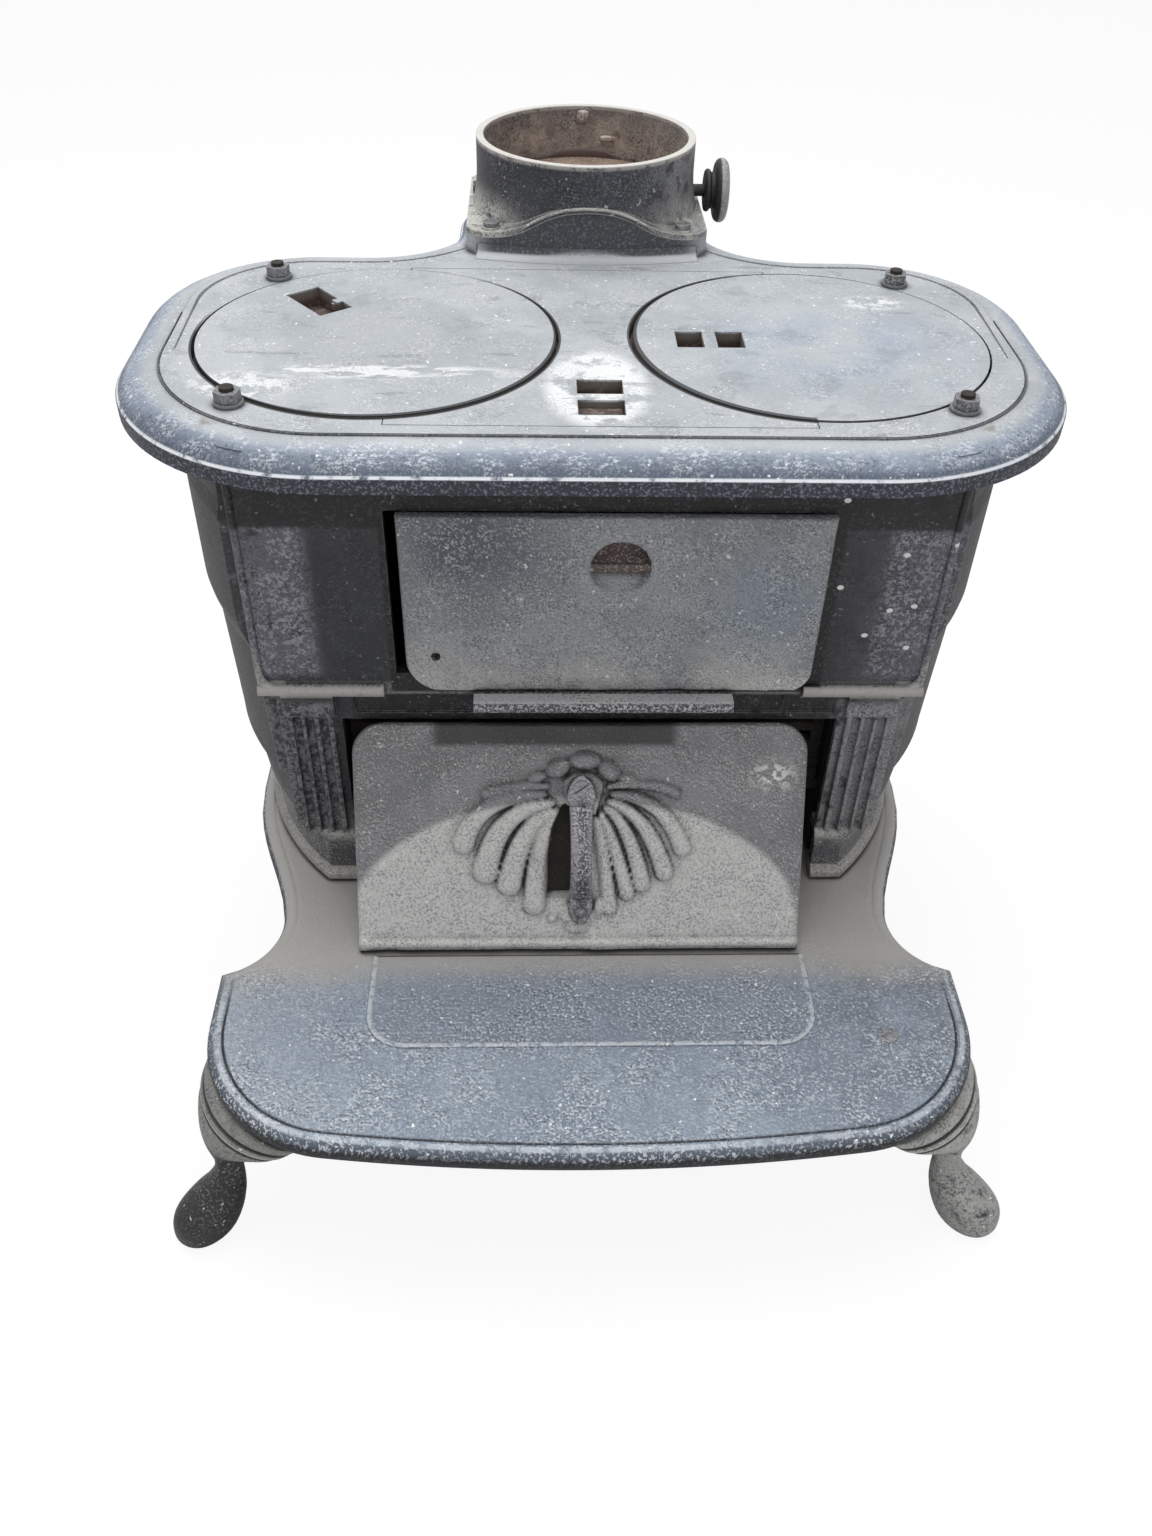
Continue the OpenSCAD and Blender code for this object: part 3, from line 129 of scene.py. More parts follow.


def castIron(name, look):
    look = {**plainCasting, **look}
    m = bpy.data.materials.new(name)
    m.use_nodes = True
    tree = m.node_tree
    tree.nodes.clear()
    place = addNode(tree, "TexCoord").outputs["Object"]
    beside = addNode(tree, "VectorMath", {"operation": "ADD", 1: grainShadow}, {0: place}).outputs[0]
    colour = addNode(tree, "Mix", {"data_type": "RGBA", 6: linear(look["dark"]), 7: linear(look["light"])},
                     {0: reachOf(tree, place, 1, [("blotch", 0.38, 0.62, look["cloud"])])}).outputs[2]
    grain, under, patches, spots, swell = [
        addNode(tree, "TexNoise", {"Scale": 1000 / size, "Detail": detail, "Roughness": rough},
                {"Vector": where}).outputs["Fac"]
        for size, detail, rough, where in (
            (look["grain"], 2.0, 0.6, place), (look["grain"], 2.0, 0.6, beside), (look["cluster"], 4.0, 0.6, place),
            (look["fleck"], 1.0, 0.5, place), (look["swell"], 3.0, 0.5, place))]
    low, high, least = look["gather"]
    zone = addNode(tree, "MapRange", {"From Min": low, "From Max": high, "To Min": least},
                   {"Value": patches}).outputs[0]
    # bloom on the grain, pits on the shifted grain as each grain's painted shadow, and flecks
    pale, pitShade, fleck = [
        addNode(tree, "MapRange", {"From Min": low, "From Max": high, "To Max": most},
                {"Value": noise}).outputs[0]
        for low, high, most, noise in ((0.53, 0.59, look["pale"], grain), (0.51, 0.57, look["pitShade"], under),
                                       (0.72, 0.76, look["flecks"], spots))]
    pale, pitShade = [addNode(tree, "Math", {"operation": "MULTIPLY"}, {0: share, 1: zone}).outputs[0]
                 for share in (pale, pitShade)]
    coats = [(tone, reachOf(tree, place, amount, masks)) for tone, amount, *masks in look["layers"]]
    coats += [(look["pitShadeTone"], pitShade), (look["bloom"], pale), (look["fleckTone"], fleck)]
    coats += [(tone, reachOf(tree, place, amount, masks)) for tone, amount, *masks in look["last"]]
    for tone, share in coats:
        colour = addNode(tree, "Mix", {"data_type": "RGBA", 7: linear(tone)},
                         {0: share, 6: colour}).outputs[2]
    rough = addNode(tree, "MapRange",
                    {"From Min": 0.3, "From Max": 0.7, "To Min": look["rough"] - 0.12, "To Max": look["rough"] + 0.14},
                    {"Value": grain}).outputs[0]
    # cast edges are never sharp, and the skin is lumpy under its grain
    normal = addNode(tree, "Bevel", {"samples": 4, "Radius": look["edge"] / 1000}).outputs[0]
    for height, depth in ((swell, look["lump"]), (grain, look["tooth"])):
        normal = addNode(tree, "Bump", {"Strength": 0.9, "Distance": depth / 1000},
                         {"Height": height, "Normal": normal}).outputs[0]
    skin = addNode(tree, "BsdfPrincipled", {"Metallic": look["metal"]},
                   {"Base Color": colour, "Roughness": rough, "Normal": normal})
    addNode(tree, "OutputMaterial", None, {"Surface": skin.outputs[0]})
    return m


# masks and a coat that come more than once
frontOnly = ("y", -100, -116)
panelHigh = (("z", 296, 304), ("z", 408, 398))
ledgeHigh = (("z", 284, 286), ("z", 297, 295))
underLids = (("side", 216, 212), ("y", -116, -110), ("y", 100, 92))
# the wall under the collar's flange, painted dark as the shade it stands in
seatFace = (("z", 462.5, 464), ("y", 126, 128), ("y", 144, 138), ("side", 82, 62))
boreSkin = ("spot", 0.985, 0.975, (0, collarY, 492), (72.5, 72.5, 400))
boreBrown = ("#6b564f", 0.95, ("spot", 1.05, 1.0, (0, collarY, 470), (74, 74, 60)), ("y", 134, 150))


def seamAhead(lid, backX, backY):  # painted shadow ahead of a lid: inside its seam, and outside the same round set back
    seam = (108.8, 108.8, 400)
    return ("spot", 1.014, 1.009, (lid, 0, lidZ), seam), ("spot", 0.982, 0.988, (backX, backY, lidZ), seam)


# Cooking top: iron greyed by heat, with mineral bloom on it. The eye sees pale blue-grey with a dry, fine grain.
topIron = castIron("heatGreyedCastIron", {
    "dark": "#a5aaaf", "light": "#b4b8bc", "bloom": "#dddfe0", "pitShadeTone": "#70747a", "pale": 0.5, "pitShade": 0.5,
    "gather": (0.46, 0.66, 0.28), "flecks": 0.7, "fleckTone": "#f6f6f5", "tooth": 0.22, "grain": 1.4,
    "layers": [
        ("#96a3b4", 0.7, ("spot", 1.0, 0.2, (150, -10, lidZ), (110, 100, 30)),
         ("blotch", 0.34, 0.6, 30)),  # bluer over the fire
        ("#8693a6", 0.85, ("z", 458.8, 455.5)),  # rolled rim, bluer and darker
        # painted shade: the rim's lower front darker, fading out toward the right
        ("#4f5a69", 0.7, ("z", 458.4, 453.5), ("x", 190, 60), ("y", -60, -110)),
        ("#4a5568", 0.9, ("z", 455, 449)),
        ("#d3dae4", 0.6, ("z", 458.8, 457.8), ("z", 450, 453.5), ("blotch", 0.52, 0.58, 2.0, (0.6, 1, 1)),
         ("blotch", 0.4, 0.54, 24)),
        ("#39424f", 0.6, ("z", 457.5, 455), ("blotch", 0.52, 0.58, 2.3), ("blotch", 0.42, 0.56, 20)),
        ("#8e9296", 0.35, ("spot", 1.0, 0.8, (-128, 0, lidZ), (66, 66, 8))),
        ("#8a8f96", 0.5, ("blotch", 0.56, 0.66, 30), ("z", 459.4, 459.8)),
        ("#eff0f0", 0.8, ("spot", 1.0, 0.7, (-1, -68, lidZ), (34, 56, 8)),
         ("blotch", 0.4, 0.5, 22)),  # limewash spilt on the middle
        ("#eeefef", 0.7, ("spot", 1.0, 0.5, (-122, -50, lidZ), (96, 12, 6)),
         ("blotch", 0.46, 0.54, 12, (0.4, 1.4, 1))),
        ("#eeefef", 0.7, ("spot", 1.0, 0.5, (-200, -68, lidZ), (36, 22, 6)), ("blotch", 0.46, 0.54, 10)),
        ("#f0f1f1", 0.75, ("spot", 1.0, 0.4, (181, 60, lidZ), (27, 15, 6)), ("blotch", 0.44, 0.52, 9)),
        ("#75797f", 0.5, ("blotch", 0.62, 0.68, 16, (0.35, 1.6, 1)), ("z", 458.5, 459.5)),  # drag marks
    ],
    "last": [
        # painted shade on the wall under the flange, with a few pale grains on it
        ("#2b2c31", 0.92, *seatFace),
        ("#7f838b", 0.55, *seatFace, ("blotch", 0.54, 0.6, 1.8)),
        ("#2c2e33", 0.9, ("crease", 0.92, 0.6, 5)),
        ("#b2b6ba", 0.93, ("spot", 1.0, 0.997, (0, seatY, lidZ), (317, 317, 60)), ("z", 464.5, 462),
         ("side", 98, 88), ("y", 140, 134)),  # plate ahead of the seat painted pale over the cove's shading and the crease shade, a painted light
        boreBrown,
        # dark seam ahead of each lid, a painted shadow of the gap
        ("#1e1f23", 0.93, *seamAhead(-lidX, -131.5, 4), ("z", 459, 459.5)),
        ("#1e1f23", 0.9, *seamAhead(lidX, 133.2, 3.2), ("x", 118.6, 117.2), ("z", 459, 459.5)),
        ("#e4e8ed", 0.9, ("z", 447.0, 447.4), ("z", 449.0, 448.2), ("blotch", 0.32, 0.5, 10)),  # worn above the lip
        ("#2f3139", 0.95, ("z", 447.5, 447.0)),  # lip under the rim
        ("#8d92a4", 0.6, ("z", 447.3, 446.9), ("blotch", 0.52, 0.6, 1.7)),
        ("#756a61", 0.9, ("z", 459.3, 458.4), *underLids),  # brown where the fire's heat gets at it
        ("#54443d", 0.9, ("z", 456.5, 452), ("blotch", 0.36, 0.5, 7), *underLids),
    ]})
# X and Z of drips of white paint on the right of the front
paintSpecks = [(177, 387), (142, 365), (174, 349), (188, 352), (162, 331), (189, 322), (204, 395), (137, 422)]
# Body plates: stove-blacked iron under the rim. The eye sees charcoal, with a violet-grey haze at the corners.
bodyIron = castIron("blackedCastIron", {
    "dark": "#2b2c2f", "light": "#36373b", "bloom": "#5c5d62", "pitShadeTone": "#121314", "pale": 0.45, "pitShade": 0.7,
    "flecks": 0.3, "fleckTone": "#b9b9bb", "rough": 0.55,
    "layers": [
        # painted light: the right end paler, in patches
        ("#67666c", 0.7, ("x", 140, 186), ("blotch", 0.3, 0.56, 12)),
        ("#67656f", 0.85, ("x", -160, -172), frontOnly, *panelHigh, ("blotch", 0.3, 0.42, 20)),
        ("#5d5b66", 0.8, ("x", 168, 182), frontOnly, *panelHigh, ("blotch", 0.34, 0.5, 14)),
        ("#a19fab", 0.75, ("side", 162, 174), frontOnly, *panelHigh, ("blotch", 0.5, 0.55, 2.4),
         ("blotch", 0.36, 0.5, 30)),
        ("#77757c", 0.6, ("side", 186, 204), ("blotch", 0.42, 0.56, 5)),
        # painted light: the right pilaster paler toward its foot
        ("#9c9b9e", 0.85, ("x", 150, 160), frontOnly, ("z", 284, 276), ("blotch", 0.34, 0.52, 12)),
        ("#8c8a90", 0.7, ("z", 284, 278), ("side", 158, 164), frontOnly, ("blotch", 0.44, 0.54, 4)),
        ("#b4b2b0", 0.92, ("z", 285, 287), ("z", 297, 294), ("up", -0.3, 0.4), ("blotch", 0.26, 0.44, 8)),
        ("#a2a09f", 0.85, ("z", 324, 306), ("z", 285, 287), ("side", 186, 191), ("y", -125.4, -126)),  # ledge's turn
        ("#1c1a19", 0.75, ("x", -203.5, -207), ("blotch", 0.7, 0.5, 12)),
        ("#0e0e0f", 0.85, ("z", 401.5, 404.5), ("y", -112, -120)),  # painted shadow of the rim
        ("#a8a5a1", 0.5, ("z", 200, 170), ("blotch", 0.42, 0.6, 12)),
        ("#0f0f10", 0.97, ("x", -124.6, -122.8), ("x", 142, 139), ("z", 287, 289)),  # painted shade round the feed opening's recess
        # painted shade on the lintel band under the ledge
        ("#131314", 0.95, ("z", 287, 285), ("side", 152, 148)),
        ("#131314", 0.9, ("y", -117.4, -116)),
        ("#232326", 0.9, ("side", 192, 194.5), ("z", 285.4, 286.2), ("z", 294.8, 294.2), ("y", -125.2, -125.8)),
    ],
    "last": [
        ("#101011", 0.9, ("crease", 0.8, 0.4, 7)),
        ("#9b999d", 0.5, ("worn", 0.97, 0.86, 1.2), ("blotch", 0.4, 0.5, 9)),
        ("#9d9b98", 0.85, ("side", 187, 190), *ledgeHigh, ("y", -112, -118), ("blotch", 0.26, 0.44, 8)),
        ("#aaa8a4", 0.85, ("y", -127.4, -128.4), *ledgeHigh, ("blotch", 0.24, 0.42, 8)),
        boreBrown,
        *[("#dedede", 0.95, ("spot", 1.0, 0.7, (x, -125, z), (2.3, 6, 1.8))) for x, z in paintSpecks],
    ]})
# Feed rail: bare iron gone grey, with a painted highlight along its top and painted shade under its lip. The eye sees
# a pale line over a dark, speckled band.
railIron = castIron("dustyCastIronRail", {
    "dark": "#8b8b8f", "light": "#a0a0a4", "bloom": "#c9c9ca", "pitShadeTone": "#2b2b2e", "pale": 0.7, "pitShade": 0.7,
    # painted highlight along the lip's top, painted shade on its front below
    "layers": [("#c4c4c6", 0.8, ("z", 292.7, 293.3)), ("#3a3a3f", 0.93, ("z", 293.2, 292.6))],
    "last": [("#c4c3cb", 0.75, ("z", 293.2, 292.6), ("blotch", 0.5, 0.57, 1.8)),
             ("#1d1d1e", 0.8, ("crease", 0.75, 0.4, 6))]})
# Damper knob and shaft: iron rubbed by fingers. The eye sees a worn grey disc, dark at its outer face.
knobIron = castIron("wornKnobIron", {
    "dark": "#85868a", "light": "#9c9d9b", "bloom": "#cfcfcd", "pitShadeTone": "#46474a", "pale": 0.7, "pitShade": 0.5,
    "flecks": 0.2, "layers": [("#46352c", 0.9, ("x", 84, 76))],
    # the band between the collar and the disc's rim painted near black, as the shadow there
    "last": [("#1b1b1c", 0.85, ("crease", 0.8, 0.4, 5)), ("#121213", 0.93, ("x", 95.8, 94.8), ("x", 76, 80))]})
# Collar: dark blacked iron, pale and brown inside. The eye sees worn edges that catch the light.
darkIron = castIron("wornBlackCastIron", {
    "dark": "#323339", "light": "#43444a", "bloom": "#7b7c81", "pitShadeTone": "#1a1b1e", "pale": 0.6, "pitShade": 0.7,
    "metal": 0.25, "rough": 0.55, "fleckTone": "#d4d4d3", "flecks": 0.5,
    "layers": [
        ("#cbc9c2", 0.95, ("z", 498, 476), ("side", 36, 66), ("blotch", 0.3, 0.48, 10)),
        ("#8f8f90", 0.75, ("x", 20, 66), ("blotch", 0.36, 0.52, 12)),
        ("#bfb0a5", 1.0, boreSkin),
        ("#6b564f", 0.85, boreSkin, ("blotch", 0.5, 0.62, 9), ("y", 230, 262)),
        ("#d2c4b6", 0.6, boreSkin, ("blotch", 0.5, 0.62, 16)),
    ],
    "last": [
        ("#b4afaa", 0.8, ("z", 516.5, 518.5), ("blotch", 0.34, 0.5, 7)),
        ("#d2cfcb", 0.85, ("z", 519.2, 519.8)),
        ("#cfcdc8", 0.85, ("worn", 0.97, 0.88, 1.8), ("blotch", 0.24, 0.42, 8)),
        ("#1c1c1e", 0.8, ("crease", 0.7, 0.3, 6)),
    ]})
# Edge of the collar's flange: its black is rubbed off, and the line is drawn pale as a painted highlight. The eye sees
# a bare, pale line.
rubbedHighlitIron = castIron("rubbedHighlitCastIron", {
    "dark": "#8f8e8c", "light": "#b5b4b0", "bloom": "#d4d3cf", "pitShadeTone": "#4a4a4c", "metal": 0.35, "rough": 0.5})
# Inside castings and fasteners: brown rust over iron. The eye sees it quite matt.
rustIron = castIron("rustedIron", {
    "dark": "#786559", "light": "#968275", "bloom": "#baa99b", "pitShadeTone": "#3d302a", "metal": 0.05, "rough": 0.8,
    "flecks": 0.3, "fleckTone": "#c4b8ab"})
# Firebox linings and grates: soot on scale. The eye sees almost black.
sootIron = castIron("sootyCastIron", {
    "dark": "#1f1c1a", "light": "#2d2825", "bloom": "#4a423d", "pitShadeTone": "#0f0d0c", "metal": 0.05, "rough": 0.85,
    "flecks": 0.2, "fleckTone": "#7a6f68"})
# Step of the rim: its shadow, painted as a dark tube along it. The eye sees a thin grey line.
seamIron = castIron("stepShadowIron", {
    "dark": "#4b4e54", "light": "#64686e", "bloom": "#a0a4aa", "pitShadeTone": "#25272b", "pale": 0.5, "pitShade": 0.8,
    "edge": 0.3})
# Bolts and nuts: steel gone dark, with dust and painted shade in the corners. The eye sees dull grey with bright
# edges, worn and partly a painted highlight.
boltSteel = castIron("darkenedSteel", {
    "dark": "#6b6b6d", "light": "#86868a", "bloom": "#b5b5b5", "pitShadeTone": "#2c2724", "metal": 0.5, "rough": 0.5,
    "edge": 0.5, "grain": 1.8, "flecks": 0.4,
    "last": [("#c9c9c7", 0.6, ("worn", 0.97, 0.85, 0.8)), ("#2b2725", 0.7, ("crease", 0.8, 0.4, 3))]})
# Hearth: bare cast iron gone blue-grey, thick with dry bloom and pits. The eye sees salt-and-pepper on slate blue.
hearthIron = castIron("bloomedCastIron", {
    "dark": "#8793a2", "light": "#929eac", "bloom": "#cfd3d8", "pitShadeTone": "#545a64", "pale": 0.85, "pitShade": 0.8,
    "cluster": 34, "gather": (0.42, 0.6, 0.4), "flecks": 0.9, "fleckTone": "#f6f6f5", "tooth": 0.4, "grain": 1.9,
    "layers": [
        ("#b1afac", 0.95, ("y", -238, -206), ("side", 150, 176), ("blotch", 0.15, 0.4, 30)),  # warmer grey toward the stove
        ("#b1adaa", 0.85, ("y", -236, -190), ("blotch", 0.25, 0.55, 30)),
        ("#a8a8a8", 0.45, ("side", 196, 236), ("blotch", 0.36, 0.56, 22)),
        ("#646c7a", 0.65, ("x", 80, 190), ("blotch", 0.3, 0.6, 40)),
        ("#9aa2ac", 0.4, ("x", -120, -190), ("blotch", 0.3, 0.6, 30)),
        ("#7d8794", 0.6, ("z", 125.1, 125.25), ("blotch", 0.3, 0.6, 14)),  # the panel, a little darker
        ("#4b5462", 0.9, ("z", 124.7, 123.6)),  # turned-down edge
        ("#17181e", 0.95, ("z", 123.4, 119.2)),
    ],
    "last": [
        ("#dfe3e8", 0.4, ("z", 124.0, 124.5), ("z", 124.995, 124.93), ("y", -200, -230), ("blotch", 0.4, 0.54, 8)),
        ("#b5b2ae", 0.9, ("z", 121.5, 123), ("y", -226, -196)),  # dust right out to the edge at the waist
        ("#d9dce0", 0.6, ("z", 125.5, 126.0), ("blotch", 0.4, 0.5, 4)),
        ("#17181e", 0.88, ("z", 121.6, 118.6)),
        ("#26282c", 0.9, ("crease", 0.8, 0.45, 5)),
        ("#2a2c30", 0.9, ("z", 124.3, 124.0), ("z", 123.2, 123.6), ("up", 0.9, 0.97), ("y", -215, -235)),  # groove
    ]})
# Plinth: the hearth casting's upright band, blacker. The eye sees ash lying on its slope.
plinthIron = castIron("ashyCastIron", {
    "dark": "#46474b", "light": "#5c5c60", "bloom": "#a3a2a2", "pitShadeTone": "#1f2022", "pale": 0.6, "pitShade": 0.7,
    "fleckTone": "#dededc",
    "layers": [("#cbc8c3", 0.95, ("up", 0.38, 0.7), ("z", 154, 158), ("blotch", 0.2, 0.4, 14)),
               ("#aeaba6", 0.92, ("z", 136.5, 135), ("blotch", 0.2, 0.4, 9)),
               ("#8e8c8d", 0.5, ("side", 160, 240)),
               ("#9c9a9a", 0.5, ("z", 150, 158), ("blotch", 0.4, 0.6, 14))],
    "last": [("#1f2022", 0.9, ("crease", 0.75, 0.35, 7))]})
print("made materials")

finishOf = {
    topIron: ["top_plate", "centre_plate", "left_lid", "right_lid", "top_washers"],
    bodyIron: ["front_frame", "left_side", "right_side", "back_panel", "flue_box"],
    knobIron: ["damper_knob", "damper_shaft"],
    darkIron: ["flue_collar"],
    rustIron: ["damper_plate", "flue_box_bolts", "side_foot_bolts", "feed_rail_screws"],
    sootIron: ["side_linings", "fire_back", "bottom_grate", "front_grate", "top_studs"],
    boltSteel: ["collar_bolts", "top_nuts", "handle_screw", "handle_rivet", "leg_bolts"],
}
for material, names in finishOf.items():
    for name in names:
        for i in range(len(nodes[name].material_slots)):
            nodes[name].material_slots[i].material = material


# mesh helpers
def piece(name, verts, faces, material, slot, body, replaced=(), sharp=38):
    mesh = bpy.data.meshes.new(name)
    mesh.from_pydata([tuple(v) for v in verts], [], faces)
    bm = bmesh.new()
    bm.from_mesh(mesh)
    bmesh.ops.recalc_face_normals(bm, faces=bm.faces)
    bm.to_mesh(mesh)
    bm.free()
    mesh.shade_smooth()
    mesh.set_sharp_from_angle(angle=math.radians(sharp))
    obj = bpy.data.objects.new(name, mesh)
    bpy.context.scene.collection.objects.link(obj)
    mesh.materials.append(material)
    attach(obj, body)
    for node in replaced:
        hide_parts(node)


def loft(rings):  # closed rings of equal count, capped at both ends
    n = len(rings[0])
    verts = [p for ring in rings for p in ring]
    faces = [(k * n + i, (k + 1) * n + i, (k + 1) * n + (i + 1) % n, k * n + (i + 1) % n)
             for k in range(len(rings) - 1) for i in range(n)]
    faces.append(tuple(range(n - 1, -1, -1)))
    faces.append(tuple(range((len(rings) - 1) * n, len(rings) * n)))
    return verts, faces


def joined(lofts):  # several lofts as one mesh
    verts, faces = [], []
    for moreVerts, moreFaces in lofts:
        faces += [tuple(i + len(verts) for i in face) for face in moreFaces]
        verts += moreVerts
    return verts, faces


def turns(count):  # angles once round
    return [2 * math.pi * i / count for i in range(count)]


def squarer(value, power):  # a sine or cosine, eased so that a round comes out squarer
    return math.copysign(abs(value) ** power, value)


def offPath(path, k):  # unit step square to a path at its point k
    a, b = path[max(k - 1, 0)], path[min(k + 1, len(path) - 1)]
    far = math.hypot(b[0] - a[0], b[1] - a[1])
    return (b[1] - a[1]) / far, -(b[0] - a[0]) / far


def arc(cx, cy, r, a0, a1, steps):
    return [(cx + r * math.cos(math.radians(a0 + (a1 - a0) * i / steps)),
             cy + r * math.sin(math.radians(a0 + (a1 - a0) * i / steps))) for i in range(steps + 1)]


def smoothThrough(rows, per):  # Catmull-Rom rows between the given ones
    rows = [np.array(r, float) for r in rows]
    out = []
    for i in range(len(rows) - 1):
        p0, p1, p2, p3 = rows[max(i - 1, 0)], rows[i], rows[i + 1], rows[min(i + 2, len(rows) - 1)]
        for k in range(per):
            t = k / per
            out.append(0.5 * (2 * p1 + (p2 - p0) * t + (2 * p0 - 5 * p1 + 4 * p2 - p3) * t * t
                              + (3 * p1 - p0 - 3 * p2 + p3) * t ** 3))
    out.append(rows[-1])
    return out


# hearth and bottom casting
hearth = {"half": 240, "corner": 91, "front": 350, "cornerFront": 250, "cornerBack": 58,
          "waist": (251, -166), "waistR": 45, "waistFrom": 242, "waistTo": 172,  # hollow in each side
          "hip": ((206.4, -159.7), (212.4, -117), (239.8, -84), (240, -28)),  # curve from the hollow out to the side
          "foot": 108, "thick": 17, "grooveEnd": 200, "grooveFade": 36,
          "plinthR": 177, "bowX": 52, "opening": 157, "gap": 0.2, "wall": 126}
cornerX = hearth["half"] - hearth["corner"]
bowRise = hearth["front"] - hearth["cornerFront"]
bowR = (cornerX ** 2 + bowRise ** 2 - hearth["corner"] ** 2) / (2 * (bowRise - hearth["corner"]))
bowTurn = math.degrees(math.asin(cornerX / (bowR - hearth["corner"])))


def hearthPlan(i):  # outline inset by i
    h = hearth
    wx, wy = h["waist"]
    half = arc(0, bowR - h["front"], bowR - i, -90, -90 + bowTurn, 16)
    half += arc(cornerX, -h["cornerFront"], h["corner"] - i, -90 + bowTurn, 0, 26)[1:]
    half.append((h["half"] - i, wy - math.sqrt((h["waistR"] + i) ** 2 - (wx - h["half"] + i) ** 2)))
    half += arc(wx, wy, h["waistR"] + i, h["waistFrom"], h["waistTo"], 22)
    p0, p1, p2, p3 = [np.array(q, float) for q in h["hip"]]
    for t in (0.15, 0.3, 0.42, 0.52, 0.62, 0.72, 0.84, 1):
        p = (1 - t) ** 3 * p0 + 3 * t * (1 - t) ** 2 * p1 + 3 * t * t * (1 - t) * p2 + t ** 3 * p3
        d = 3 * (1 - t) ** 2 * (p1 - p0) + 6 * t * (1 - t) * (p2 - p1) + 3 * t * t * (p3 - p2)
        d = d / np.hypot(*d)
        half.append((float(p[0] - i * d[1]), float(p[1] + i * d[0])))
    half += arc(cornerX, h["cornerBack"], h["corner"] - i, 0, 90, 24)
    return half + [(-x, y) for x, y in half[:0:-1]]


# the slab's section as inset and height: its underside, the round edge, then the top with a groove near the edge
foot, edgeR = hearth["foot"], hearth["thick"] / 2
slabSteps = [(14, foot + 10), (14, foot + 0.3), (13, foot)]
slabSteps += [(edgeR * (1 - math.cos(math.radians(a))), foot + edgeR + edgeR * math.sin(math.radians(a)))
              for a in range(-90, 91, 12)]
slabSteps += [(i, hearthZ - deep)
              for i, deep in ((9.4, 0), (9.8, 1), (10.4, 1.5), (11, 1), (11.4, 0), (14, 0), (16, 0))]
slabRings = []
for i, z in slabSteps:
    plan = hearthPlan(i)
    fade = [1] * len(plan)
    if 9 < i < 12:  # the groove dies out at the waist
        fade = [min(max((-y - hearth["grooveEnd"]) / hearth["grooveFade"], 0.1), 1) for x, y in plan]
    slabRings.append([row(x, y, hearthZ - (hearthZ - z) * f) for (x, y), f in zip(plan, fade)])
piece("hearthSlab", *loft(slabRings), hearthIron, "plate_top_iron", "stove", ["hearth_base"])


def plinthPath(o):  # plan of the plinth's face pushed out by o, right half
    h = hearth
    r, y0 = h["plinthR"] + o, h["wall"] + o
    turn = math.degrees(math.asin(y0 / r))
    startX, endX = h["opening"] + h["gap"], h["bowX"] + r * math.cos(math.radians(turn))
    pts = [(startX + (endX - startX) * k / 6, -y0) for k in range(6)]
    pts += arc(h["bowX"], 0, r, -turn, turn, 40)
    return pts + [(endX * (1 - k / 5), y0) for k in range(1, 6)]


# the plinth's section as push outward and height
plinthSteps = [(-8, 125), (2.6, 125), (4.4, 126.6), (5, 129), (4.4, 131.6), (2.6, 133.4), (0.8, 134.4), (0, 136),
               (0, 152), (-0.4, 155), (-1.8, 158.5), (-4.2, 162), (-7, 165), (-9, 167), (-11, 167.7), (-19.5, 167.7),
               (-19.5, 160), (-8, 160)]
for name, side in (("plinthRight", 1), ("plinthLeft", -1)):
    rings = [[row(side * x, y, z) for (x, y), (o, z) in zip(section, plinthSteps)]
             for section in zip(*[plinthPath(o) for o, z in plinthSteps])]
    piece(name, *loft(rings), plinthIron, "body_iron", "stove", sharp=30)

# slotted screw in the hearth's right corner, two halves of a head on a thin base
screw = {"x": 185.1, "y": -264.8, "r": 6.2, "slot": 0.8, "turn": 24, "base": -0.1, "slotFloor": 0.06}
pin = row(screw["x"], screw["y"], 0)
lofts = []
for halfTurn in (0, 180):
    rings = []
    for inset, high in ((0, screw["base"]), (0, 0.35), (0.25, 0.6), (0.8, 0.7)):
        r = screw["r"] - inset
        a0 = math.degrees(math.asin((screw["slot"] + inset * 0.3) / r))
        rings.append([row(screw["x"] + x, screw["y"] + y, hearthZ + high) for x, y in arc(0, 0, r, a0, 180 - a0, 16)])
    spin = Matrix.Rotation(math.radians(halfTurn + screw["turn"]), 4, "Z")
    lofts.append(loft([[spin @ (p - pin) + pin for p in ring] for ring in rings]))
base = arc(screw["x"], screw["y"], screw["r"] - 0.1, 0, 345, 23)
lofts.append(loft([[row(x, y, hearthZ + high) for x, y in base] for high in (screw["base"], screw["slotFloor"])]))
piece("hearthScrew", *joined(lofts), boltSteel, "dark_iron", "stove", sharp=30)
print("built hearth")

# raised panel in front of the lower plate, left bare; its edge as inset and height above the hearth
panel = {"half": 142, "front": 272, "corner": 26, "back": 199.2}
panelSteps = [(0, -0.2), (0, 0.3), (0.7, 1.1), (1.6, 1.4), (2.6, 1.2), (3.5, 0.7), (4.4, 0.5)]


def panelPlan(i):
    side, low, r = panel["half"] - panel["corner"], panel["corner"] - panel["front"], panel["corner"] - i
    back = -panel["back"] - (0.3 if i else 0)
    return (arc(-side, low, r, 180, 270, 12) + arc(side, low, r, 270, 360, 12)
            + [(panel["half"] - i, back), (i - panel["half"], back)])


rings = [[row(x, y, hearthZ + high) for x, y in panelPlan(i)] for i, high in panelSteps]
piece("hearthPanel", *loft(rings), hearthIron, "plate_top_iron", "stove")

# cabriole legs
legTurn = 35  # degrees that a leg stands round its corner from sideways
